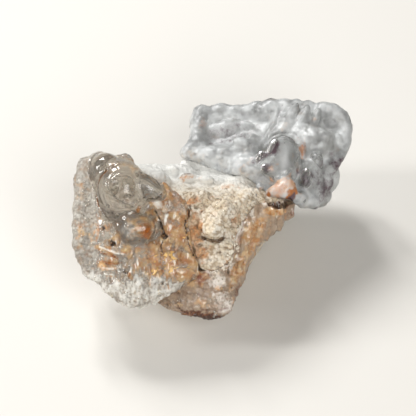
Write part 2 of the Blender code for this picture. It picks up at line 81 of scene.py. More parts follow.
def applyModifiers(piece):
    selectOnly(piece)
    for modifier in list(piece.modifiers):
        bpy.ops.object.modifier_apply(modifier=modifier.name)


def newObject(name, data):
    thing = bpy.data.objects.new(name, data)
    bpy.context.scene.collection.objects.link(thing)
    return thing


def copyOfNode(nodeName, pieceName):
    piece = newObject(pieceName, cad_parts[nodeName].data.copy())
    piece.data.materials.clear()
    selectOnly(piece)
    bpy.ops.object.mode_set(mode="EDIT")
    bpy.ops.mesh.select_all(action="SELECT")
    bpy.ops.mesh.remove_doubles(threshold=0.002 * mm)
    bpy.ops.object.mode_set(mode="OBJECT")
    return piece


def turnedBy(degrees, tip=0.0):
    # turned as seen, then tipped by radians about its own right
    return facing @ Matrix.Rotation(math.radians(degrees), 3, "Z") @ Matrix.Rotation(tip, 3, "X")


def addKnob(centre, half, turn=0.0, finer=4):
    bpy.ops.mesh.primitive_ico_sphere_add(
        subdivisions=finer,
        radius=1.0,
        location=spot(*centre),
        rotation=turnedBy(turn).to_euler(),
        scale=Vector(half) * mm,
    )
    return bpy.context.object


def knobOn(skin, right, up, rise, half, turn=0.0, finer=4):
    # a knob whose middle is this far above the place that is seen there
    hit, _ = seen(skin, right, up)
    knob = addKnob((0, 0, 0), half, turn, finer)
    knob.location = Vector(hit) + outAxis * rise * mm
    return knob


def growTogether(piece, knobs, cell, rounds):
    if knobs:
        selectOnly(*knobs, piece)
        bpy.ops.object.join()
    remesh = piece.modifiers.new("growTogether", "REMESH")
    remesh.mode = "VOXEL"
    remesh.voxel_size = cell * mm
    soften = piece.modifiers.new("soften", "SMOOTH")
    soften.factor = 0.5
    soften.iterations = rounds
    applyModifiers(piece)


# Carving and staining work on a skin: the points of a piece's mesh, their normals,
# a tree to cast rays at, and one mask for each stain

def readSkin(piece, masks):
    mesh = piece.data
    count = len(mesh.vertices)
    points = np.empty(count * 3)
    mesh.vertices.foreach_get("co", points)
    normals = np.empty(count * 3)
    mesh.vertices.foreach_get("normal", normals)
    bpy.context.view_layer.update()
    graph = bpy.context.evaluated_depsgraph_get()
    return {
        "piece": piece,
        "points": points.reshape(-1, 3),
        "normals": normals.reshape(-1, 3),
        "tree": BVHTree.FromObject(piece, graph),
        "masks": {name: np.zeros(count) for name in masks},
    }


def writeSkin(skin):
    mesh = skin["piece"].data
    mesh.vertices.foreach_set("co", skin["points"].ravel())
    mesh.update()
    for name, values in skin["masks"].items():
        layer = mesh.attributes.get(name) or mesh.attributes.new(name, "FLOAT", "POINT")
        layer.data.foreach_set("value", np.clip(values, 0, 1))


def seen(skin, right, up):
    hit, normal, _, _ = skin["tree"].ray_cast(eye, (spot(right, up) - eye).normalized())
    if hit is None:
        return None, None
    return np.array(hit), np.array(normal)


def away(skin, centre, half, turn=0.0):
    # distance of every point from a place, counted in half sizes that lie in the slanting plane
    local = (skin["points"] - centre) @ np.array(turnedBy(turn))
    return np.linalg.norm(local / (np.array(half) * mm), axis=1)


def between(first, second, share):
    return tuple(a + (b - a) * share for a, b in zip(first, second))


def drawnLine(skins, path, spacing=0.15):
    # a line drawn on the stone, as it is seen: on the first of the skins that is hit
    drawn = []
    for first, second in zip(path, path[1:]):
        steps = max(2, round(math.dist(first, second) / spacing))
        drawn += [between(first, second, step / steps) for step in range(steps)]
    drawn.append(path[-1])
    line = []
    for right, up in drawn:
        hits = [seen(skin, right, up)[0] for skin in skins]
        hits = [hit for hit in hits if hit is not None]
        if hits:
            line.append(min(hits, key=lambda hit: np.linalg.norm(hit - np.array(eye))))
    return np.array(line)


def alongLine(skin, line, reach=1.2, beyond=9.0):
    # distance in mm of every point of a skin from a line, or a large one for points out of reach
    points = skin["points"]
    low = line.min(axis=0) - reach * mm
    high = line.max(axis=0) + reach * mm
    close = np.all((points > low) & (points < high), axis=1)
    distance = np.full(len(points), beyond)
    gaps = np.linalg.norm(points[close][:, None, :] - line[None, :, :], axis=2)
    distance[close] = gaps.min(axis=1) / mm
    return distance


evenShare = 0.6  # of the way to the middle of its neighbours that a point moves
edgeSharpness = 1.6  # of a stain along a line: over 1, it is whole in the middle
flatBelow = (0.05, 0.5)  # heights in mm: the flat base stays as it is, and from the second on all may move
# how much the outlines of stains and the widths of lines wander, over how many mm
wander = {"stain": 0.7, "stainSize": 0.6, "line": 0.6, "lineSize": 0.5}
fading = {"stain": 0.75, "clearing": 0.8}  # the smaller, the further they reach


def bell(distance):
    return np.clip(1 - distance**2, 0, 1) ** 2


def press(skin, right, up, half, depth, turn=0.0):
    # a round pit, or with a negative depth a swelling
    centre, normal = seen(skin, right, up)
    if centre is None:
        return
    share = bell(away(skin, centre, half, turn))
    skin["points"] -= share[:, None] * normal * depth * mm


def furrow(skin, path, width, depth, mask, strength):
    # a groove along a line, or with a negative depth a rib
    nearness = 1 - alongLine(skin, drawnLine((skin,), path)) / width
    share = np.clip(nearness, 0, 1)
    skin["points"] -= share[:, None] * skin["normals"] * depth * mm
    found = strength * np.clip(edgeSharpness * nearness, 0, 1)
    skin["masks"][mask] = np.maximum(skin["masks"][mask], found)


def carve(skin, plan):
    for row in plan["furrows"]:
        furrow(skin, *row)
    for right, up, half, depth, darkness, *turn in plan["pits"]:
        press(skin, right, up, half, depth, *turn)
        stain(skin, "dark", right, up, half, darkness, *turn)
    for row in plan.get("clearings", ()):
        clearing(skin, *row)
    for mask, rows in plan["stains"].items():
        for row in rows:
            stain(skin, mask, *row)


def clearing(skin, right, up, half, strength, turn=0.0):
    # a window of clearer glass
    centre, _ = seen(skin, right, up)
    if centre is None:
        return
    left = 1 - strength * bell(away(skin, centre, half, turn) * fading["clearing"])
    for mask in ("milk", "haze", "frost"):
        skin["masks"][mask] *= left


def drawAcross(skins, path, width, depth, mask, strength):
    # a line over several pieces, of uneven width: a groove and its stain
    line = drawnLine(skins, path)
    for skin in skins:
        distance = alongLine(skin, line) / width
        distance *= 1 + wander["line"] * pattern(skin, wander["lineSize"], wave, 13.0)
        lift(skin, -depth * np.clip(1 - distance, 0, 1))
        cover(skin, mask, edgeSharpness * strength * (1 - distance))


def ring(skin, right, up, radius, width, depth):
    # a round groove
    centre, _ = seen(skin, right, up)
    distance = np.linalg.norm(skin["points"] - centre, axis=1) / mm
    share = bell((distance - radius) / width)
    skin["points"] -= share[:, None] * skin["normals"] * depth * mm


def stain(skin, mask, right, up, half, strength, turn=0.0):
    centre, _ = seen(skin, right, up)
    if centre is None:
        return
    if "wobble" not in skin:
        skin["wobble"] = 1 + wander["stain"] * pattern(skin, wander["stainSize"], wave, 31.0)
    found = strength * bell(away(skin, centre, half, turn) * fading["stain"] * skin["wobble"])
    skin["masks"][mask] = np.maximum(skin["masks"][mask], found)


def closeUp(skin, others):
    # neighbours grow against each other: points beside another piece move on, just into it,
    # and are evened out
    reach = meeting["reach"]
    trees = [other["tree"] for other in others]
    moved = np.zeros(len(skin["points"]))
    for index, point in enumerate(skin["points"]):
        best = None
        for tree in trees:
            place, _, _, gap = tree.find_nearest(Vector(point), reach * mm)
            if place is not None and (best is None or gap < best[1]):
                best = (place, gap)
        if best:
            step = np.array(best[0]) - point
            length = best[1] / mm
            share = min(1.0, 2 * (1 - length / reach))
            further = meeting["sink"] / max(length, meeting["leastGap"])
            skin["points"][index] = point + step * share * (1 + further)
            moved[index] = evenShare
    evenOut(skin, moved, meeting["rounds"])


def evenOut(skin, weights, rounds):
    # points move towards the middle of their neighbours, by weight
    mesh = skin["piece"].data
    edges = np.empty(len(mesh.edges) * 2, dtype=np.int64)
    mesh.edges.foreach_get("vertices", edges)
    one, two = edges.reshape(-1, 2).T
    count = len(weights)
    number = np.bincount(one, minlength=count) + np.bincount(two, minlength=count)
    for _ in range(rounds):
        total = np.zeros((count, 3))
        for axis in range(3):
            total[:, axis] += np.bincount(one, weights=skin["points"][two, axis], minlength=count)
            total[:, axis] += np.bincount(two, weights=skin["points"][one, axis], minlength=count)
        even = total / number[:, None]
        skin["points"] += weights[:, None] * (even - skin["points"])


# Small helpers for materials

def hexColour(code):
    shares = [int(code[start:start + 2], 16) / 255 for start in (1, 3, 5)]
    linear = [s / 12.92 if s <= 0.04045 else ((s + 0.055) / 1.055) ** 2.4 for s in shares]
    return (*linear, 1.0)


def addNode(tree, kind, settings=None, links=None):
    node = tree.nodes.new(kind)
    for name, value in (settings or {}).items():
        if isinstance(name, int) or name in node.inputs:
            node.inputs[name].default_value = value
        else:
            setattr(node, name, value)
    for socket, source in (links or {}).items():
        tree.links.new(source, node.inputs[socket])
    return node


def newMaterial(name):
    material = bpy.data.materials.new(name)
    material.use_nodes = True
    material.node_tree.nodes.clear()
    return material, material.node_tree


def perMm(size):
    # scale of a pattern whose grain is this many mm
    return 1 / (size * mm)


opalIndex = 1.45


def plainMaterial(name, settings):
    # the same all over
    material, tree = newMaterial(name)
    surface = addNode(tree, "ShaderNodeBsdfPrincipled", settings)
    addNode(tree, "ShaderNodeOutputMaterial", links={"Surface": surface.outputs[0]})
    return material


def fillSockets(tree, node, values):
    # a socket takes a number, a hex colour or another node's output
    for socket, value in values.items():
        if isinstance(value, str):
            value = hexColour(value)
        if isinstance(value, (tuple, float)):
            node.inputs[socket].default_value = value
        else:
            tree.links.new(value, node.inputs[socket])


def blendColour(tree, factor, below, above):
    node = addNode(tree, "ShaderNodeMix", {"data_type": "RGBA"})
    fillSockets(tree, node, {0: factor, 6: below, 7: above})
    return node.outputs[2]


def calculated(tree, operation, one, two):
    node = addNode(tree, "ShaderNodeMath", {"operation": operation})
    fillSockets(tree, node, {0: one, 1: two})
    return node.outputs[0]


def stretched(tree, value, low, high, least=0.0, most=1.0, how="LINEAR"):
    settings = {"interpolation_type": how, "From Min": low, "From Max": high, "To Min": least, "To Max": most}
    return addNode(tree, "ShaderNodeMapRange", settings, {"Value": value}).outputs[0]


def noiseOf(tree, size, detail, roughness):
    place = addNode(tree, "ShaderNodeTexCoord").outputs["Object"]
    settings = {"Scale": perMm(size), "Detail": detail, "Roughness": roughness}
    return addNode(tree, "ShaderNodeTexNoise", settings, {"Vector": place}).outputs["Fac"]


def maskOf(tree, name):
    return addNode(tree, "ShaderNodeAttribute", {"attribute_name": name}).outputs["Fac"]


def broken(tree, mask, grainy, amount, low, high):
    # a stain's mask with its edge broken up by a noise
    settings = {"operation": "MULTIPLY_ADD", 1: amount, 2: -amount / 2}
    shift = addNode(tree, "ShaderNodeMath", settings, {0: grainy})
    total = calculated(tree, "ADD", maskOf(tree, mask), shift.outputs[0])
    return stretched(tree, total, low, high, how="SMOOTHSTEP")


# Noises on a skin: one value for each point

def pattern(skin, size, how, shift=0.0, stretch=(1, 1, 1), warp=0.0):
    # a noise whose grain is this many mm, drawn out along the slanting plane's axes,
    # moved on by a shift and warped by a wider noise
    local = (skin["points"] - np.array(planeMiddle)) @ np.array(facing)
    local = local / (np.array(stretch) * size * mm) + shift
    places = [Vector(place) for place in local.tolist()]
    if warp:
        places = [place + warp * noise.noise_vector(place * 0.8) for place in places]
    return np.array([how(place) for place in places])


def wave(place):
    return noise.noise(place)


def grain(place):
    # round grains that meet in creases: 1 on a grain's crown, falling to its edge
    return 1 - noise.voronoi(place)[0][0] ** 2


def shard(place):
    # flat shards, each tipped its own way, as glass breaks
    _, cells = noise.voronoi(place)
    cell = cells[0]
    tilt = noise.cell_vector((cell[0] * 31.7, cell[1] * 31.7, cell[2] * 31.7))
    return sum((t - 0.5) * (a - b) for t, a, b in zip(tilt, place, cell))


def shardTone(place):
    cell = noise.voronoi(place)[1][0]
    return noise.cell((cell[0] * 17.3, cell[1] * 17.3, cell[2] * 17.3))


def layout(skin):
    # right, up and out of every point, in mm
    return ((skin["points"] - np.array(planeMiddle)) @ np.array(facing) / mm).T


def ramp(values, low, high):
    return np.clip((values - low) / (high - low), 0, 1)


def lift(skin, heights):
    # the face that the stone rests on stays flat
    heights = heights * ramp(skin["points"][:, 2] / mm, *flatBelow)
    skin["points"] += skin["normals"] * (heights * mm)[:, None]


def cover(skin, mask, values):
    skin["masks"][mask] = np.maximum(skin["masks"][mask], np.clip(values, 0, 1))


def refresh(skin):
    # normals and ray tree again after a carving
    writeSkin(skin)
    fresh = readSkin(skin["piece"], ())
    skin["points"] = fresh["points"]
    skin["normals"] = fresh["normals"]
    skin["tree"] = fresh["tree"]


def gapTo(skin, others, reach):
    # distance in mm from every point to the nearest other piece
    gaps = np.full(len(skin["points"]), reach)
    for index, point in enumerate(skin["points"].tolist()):
        for other in others:
            gap = other["tree"].find_nearest(point, reach * mm)[3]
            if gap is not None:
                gaps[index] = min(gaps[index], gap / mm)
    return gaps


maskNames = ("amber", "iron", "frost", "dark", "milk", "haze", "tone")
firstCell = 0.2
grainMiddle = 0.6  # the grain noise less this lifts about as much as it sinks


def startSkin(nodeName, pieceName, plan):
    # the CAD solid softened, then finer domes and ridges grown on to it
    piece = copyOfNode(nodeName, pieceName)
    growTogether(piece, [], firstCell, plan["firstRounds"])
    bare = readSkin(piece, ())
    domes = plan.get("domes", ()) + plan.get("beads", ())
    knobs = [addKnob(*dome, finer=plan.get("finer", 4)) for dome in domes]
    knobs += [knobOn(bare, *ridge) for ridge in plan["ridges"]]
    growTogether(piece, knobs, plan["cell"], plan["rounds"])
    return readSkin(piece, maskNames)


def domeShare(skin, plan):
    # 1 on the domes, falling to 0 round them
    share = np.zeros(len(skin["points"]))
    for centre, half, turn in plan["domes"]:
        distance = away(skin, np.array(spot(*centre)), half, turn)
        share = np.maximum(share, ramp(distance, *plan["domeEdge"]))
    return share


# Near lobe: clear glassy domes over cracked amber glass, in a frosted rind

nearLobe = {
    "firstRounds": 7,
    "cell": 0.12,
    "rounds": 2,
    "finer": 6,
    "domeEdge": (1.25, 1.02),
    "domeRounds": 20,
    "domes": (
        ((-8.6, 1.9, -0.5), (2.6, 2.9, 2.4), 0),  # main dome
        ((-8.9, -0.3, -0.5), (1.95, 1.5, 1.4), -30),  # its belly
        ((-6.1, 2.15, 0.15), (1.95, 1.15, 1.3), -33),  # its nose
        ((-10.3, 3.9, -1.5), (1.6, 1.7, 1.9), 0),  # dome behind it
        ((-6.95, -2.05, 0.3), (1.95, 1.5, 1.3), 8),  # egg below the dome
    ),
    "beads": (
        ((-8.05, 0.8, 1.55), (0.52, 0.52, 0.55), 0),
        ((-7.45, 0.5, 1.35), (0.4, 0.45, 0.4), 0),
    ),
    "ridges": (
        # right, up, rise, half sizes, turn
        (-3.5, 1.35, -0.15, (2.0, 0.42, 0.5), -36),
        (-2.9, 0.6, -0.2, (1.3, 0.35, 0.45), -48),
        (-4.0, 0.0, -0.15, (0.5, 1.0, 0.45), 20),
        (-3.2, -2.6, -0.25, (0.5, 1.6, 0.5), 8),
        (-6.9, -5.6, -0.2, (0.35, 0.9, 0.4), 0),
        (-4.4, -6.6, -0.25, (0.6, 1.2, 0.5), -20),
    ),
    "shardSize": 1.0,
    "shardDepth": 0.62,
    "splinterSize": 0.42,
    "splinterDepth": 0.13,
    "toneSize": 0.7,
    "rind": {
        # where it starts and where it is whole, in mm, with an edge that sways
        "left": (-10.5, -11.1),
        "behind": (-2.4, -3.4),
        "below": (-6.2, -7.3),
        "slope": (0.1, 8),  # how steeply that edge falls to the right, and from where
        "swaySize": 1.3,
        "sway": 0.9,
        "streakSize": 0.32,
        "streakSway": 1.5,
        "streakDepth": 0.17,
        "grainSize": 0.4,
        "grainDepth": 0.16,
        "rollSize": 1.1,
        "rollDepth": 0.16,
        "milk": (0.52, 0.5, 0.3),  # all over, more by streaks, more by rolls
    },
    "amber": (0.48, 0.22),  # at the left, and more at the right
    "amberMore": (-8.0, -6.0),
    "sliverSize": 0.5,
    "sliverMilkAndGlints": (0.38, 0.58, 0.85),  # where they start, are whole, and how strong they are; the white slivers are milky opal and partly painted glints
    "sliverIron": (-0.4, -0.6, 0.6),
    "ring": (-8.7, 2.2, 1.45, 0.2, 0.06),  # on the main dome: right, up, radius, width, depth
    "furrows": (
        # path, width, depth, mask, strength
        (((-10.2, 3.8), (-10.8, 3.1), (-11.1, 2.2), (-11.2, 1.2), (-11.0, 0.2)),
         0.18, 0.28, "iron", 1.1),  # edge of the main dome
        (((-11.0, 0.2), (-10.6, -0.6), (-9.9, -1.2), (-9.1, -1.4)), 0.18, 0.28, "dark", 0.6),
        (((-10.3, 3.7), (-9.5, 4.3), (-8.6, 4.6), (-7.6, 4.5), (-6.8, 4.0), (-6.2, 3.3)),
         0.25, 0.16, "iron", 0.3),
        (((-6.3, 0.95), (-5.7, 0.85), (-5.1, 0.85), (-4.7, 1.2)),
         0.26, 0.5, "dark", 1.6),  # slit under the nose
        (((-5.4, -0.2), (-4.9, -1.1), (-4.6, -2.0), (-4.3, -2.8)), 0.18, 0.3, "dark", 1.2),
        (((-4.4, -2.8), (-4.7, -3.7), (-4.5, -4.6)), 0.17, 0.25, "dark", 0.8),
        (((-10.8, -3.9), (-10.1, -4.15), (-9.2, -4.5), (-8.5, -4.6)), 0.18, -0.16, "milk", 0.7),
        (((-10.5, -6.0), (-9.6, -6.1), (-9.1, -6.0)), 0.17, -0.15, "milk", 0.65),
        (((-10.3, -6.6), (-9.6, -6.65)), 0.17, -0.14, "milk", 0.7),
        (((-10.9, -4.4), (-9.9, -4.7), (-9.0, -5.0)), 0.22, 0.24, "iron", 0.65),
        (((-10.6, -5.4), (-9.7, -5.6), (-8.7, -5.5)), 0.2, 0.24, "iron", 0.6),
        (((-8.2, -4.8), (-7.9, -5.6), (-8.0, -6.6)), 0.17, 0.22, "dark", 0.3),
        (((-6.2, -4.4), (-6.0, -5.3), (-5.6, -6.4)), 0.17, 0.22, "iron", 0.4),
        (((-4.6, -4.4), (-4.7, -5.6), (-4.4, -6.8)), 0.17, 0.22, "iron", 0.5),
        (((-3.4, -3.6), (-3.6, -4.6), (-3.0, -5.6)), 0.17, 0.22, "dark", 0.3),
        (((-2.6, -4.0), (-2.7, -5.2)), 0.17, 0.22, "iron", 0.5),
        (((-10.7, -2.0), (-10.2, -3.2), (-9.7, -4.0)), 0.17, 0.2, "iron", 0.3),
        (((-9.6, -1.6), (-9.0, -2.6), (-8.9, -3.6)), 0.17, 0.2, "iron", 0.3),
        (((-11.2, -0.6), (-11.0, -2.0), (-11.2, -3.2), (-11.0, -4.6), (-11.1, -6.0)), 0.2, 0.16, "iron", 0.4),
    ),
    "pits": (
        # right, up, half sizes or one for all, depth, darkness, turn
        (-9.6, -3.5, (0.3, 0.34, 0.3), 0.3, 1.2),
        (-10.5, -2.0, 0.2, 0.25, 1.0),
        (-4.3, -2.8, (0.5, 0.3, 0.35), 0.4, 1.3, -25),
        (-8.3, -6.3, (0.26, 0.4, 0.3), 0.3, 1.2, 15),
        (-8.1, -5.8, 0.18, 0.3, 1.0),
        (-11.8, 0.3, (0.18, 0.22, 0.2), 0.25, 1.0),
        (-4.6, -7.5, 0.2, 0.3, 1.0),
        (-12.2, -4.7, (0.24, 0.28, 0.2), 0.12, 0.6),
        (-6.3, -7.2, 0.16, 0.2, 0.8),
        (-8.2, -8.0, (0.16, 0.2, 0.16), 0.2, 0.7),
        (-5.6, 0.0, (0.16, 0.26, 0.16), 0.2, 0.9, -40),
        (-10.3, 0.1, (0.25, 0.2, 0.2), 0.02, 0.5),
    ),
    "stains": {
        # right, up, half sizes or one for all, strength, turn
        "iron": (
            (-7.0, -0.25, (0.5, 0.45, 0.6), 1.0),
            (-12.2, -4.7, (0.3, 0.35, 0.3), 0.5),
            (-6.1, -2.4, (1.2, 1.1, 1.2), 0.8),
            (-3.5, -4.2, (0.8, 0.6, 0.8), 0.5),
            (-5.7, -5.0, (0.5, 0.8, 0.8), 0.45),
            (-3.2, 1.0, (1.6, 0.22, 0.8), 0.45, -36),
        ),
        "dark": (
            (-9.5, -0.5, (2.4, 1.3, 2.0), 0.5, -30),
            (-9.3, 2.0, (1.2, 1.2, 1.4), 0.5),
            (-7.9, 2.0, (1.3, 1.3, 1.4), 0.45),
        ),
        "amber": (
            (-8.0, 4.2, (2.4, 0.9, 1.6), 0.45, -12),
            (-7.2, -1.2, (1.6, 0.9, 1.4), 0.6),
            (-12.6, -2.2, (1.2, 2.6, 1.4), 0.36),
            (-12.7, 1.8, (0.9, 2.2, 1.4), 0.36),
            (-6.1, -2.0, (1.7, 1.6, 1.6), 1.0),
            (-5.4, -4.8, (2.2, 1.9, 1.8), 0.75),
            (-3.6, -5.0, (2.2, 2.0, 1.8), 0.9),
            (-3.0, -2.8, (1.7, 2.6, 1.6), 0.85),
            (-3.4, -0.6, (1.8, 1.2, 1.6), 0.65),
            (-3.3, 1.2, (2.4, 0.8, 1.6), 0.75, -36),
            (-1.4, -5.4, (1.6, 1.8, 1.4), 0.85),
            (-10.3, -4.1, (1.9, 0.7, 1.2), 0.9, -12),
            (-10.4, -5.6, (1.7, 0.7, 1.2), 0.8),
            (-11.0, -2.2, (0.6, 2.4, 1.0), 0.55),
            (-8.1, -4.2, (1.2, 0.7, 1.0), 0.8),
            (-9.4, -2.6, (1.4, 1.4, 1.2), 0.5),
            (-6.0, -6.6, (2.2, 0.9, 1.2), 0.4),
            (-6.4, -1.8, (0.9, 1.4, 1.2), 0.7),
        ),
        "haze": (
            (-9.4, -0.6, (1.8, 0.9, 1.5), 0.6, -30),
        ),
        "milk": (
            (-5.9, 2.0, (2.4, 1.4, 1.8), 0.3, -33),  # breath in the nose
            (-7.9, -2.2, 1.4, 0.4),  # and in the egg
            (-5.0, 0.35, (1.0, 0.6, 0.7), 0.8, -25),  # cream rock grown into the glass
            (-4.4, -0.4, (0.7, 0.4, 0.6), 0.6, -35),
            (-10.9, -1.4, (0.4, 0.35, 0.4), 0.9),
            (-3.4, -0.9, (0.2, 0.6, 0.4), 0.9, -20),
            (-3.8, -1.9, (0.22, 0.55, 0.4), 0.9, -35),
            (-7.7, -6.2, (0.2, 0.6, 0.5), 0.9),
            (-6.9, -7.4, (0.3, 0.9, 0.6), 0.9),
            (-5.7, -7.5, (0.25, 0.6, 0.5), 0.8, 10),
            (-2.6, -6.4, (0.5, 0.3, 0.4), 0.5),
        ),
    },
}


def makeNearLobe():
    plan = nearLobe
    rind = plan["rind"]
    skin = startSkin("near_hyalite", "nearLobe", plan)
    right, up, out = layout(skin)
    sway = rind["sway"] * pattern(skin, rind["swaySize"], wave, 11.0)
    left = ramp(right + sway, *rind["left"])
    behind = ramp(out + sway, *rind["behind"])
    streaks = pattern(skin, rind["streakSize"], wave, 3.0, (1, 3.5, 1.5), 0.3)
    slope = rind["slope"][0] * (right + rind["slope"][1])
    below = ramp(up + slope + sway + rind["streakSway"] * streaks, *rind["below"])
    smooth = domeShare(skin, plan)
    evenOut(skin, smooth * evenShare, plan["domeRounds"])
    frost = np.maximum(np.maximum(left, below) * (1 - smooth), behind)
    smooth *= 1 - behind
    rest = (1 - smooth) * (1 - frost)
    cover(skin, "frost", frost)
    cover(skin, "haze", rest)
    cover(skin, "amber", rest * (plan["amber"][0] + plan["amber"][1] * ramp(right, *plan["amberMore"])))
    slivers = pattern(skin, plan["sliverSize"], wave, 21.0, (0.6, 2.2, 1), 0.9)
    # white slivers are milky opal and partly painted glints; rust slivers are iron
    for mask, (start, whole, strength) in (("milk", plan["sliverMilkAndGlints"]), ("iron", plan["sliverIron"])):
        cover(skin, mask, rest * ramp(slivers, start, whole) * strength)
    shards = pattern(skin, plan["shardSize"], shard, warp=0.35)
    splinters = pattern(skin, plan["splinterSize"], shard, 6.0, warp=0.3)
    skin["masks"]["tone"] = pattern(skin, plan["toneSize"], shardTone, 6.0, warp=0.5)
    fine = pattern(skin, rind["grainSize"], grain) - grainMiddle
    rolls = pattern(skin, rind["rollSize"], wave, 9.0)
    lift(skin, rest * (shards * plan["shardDepth"] + splinters * plan["splinterDepth"]))
    rough = fine * rind["grainDepth"] + rolls * rind["rollDepth"]
    lift(skin, frost * rough + below * streaks * rind["streakDepth"])
    everywhere, byStreaks, byRolls = rind["milk"]
    cover(skin, "milk", below * (1 - smooth) * (everywhere + byStreaks * streaks + byRolls * rolls))
    refresh(skin)
    carve(skin, plan)
    ring(skin, *plan["ring"])
    return skin


# Far lobe: milky glass in knobs, with a clear nose in front

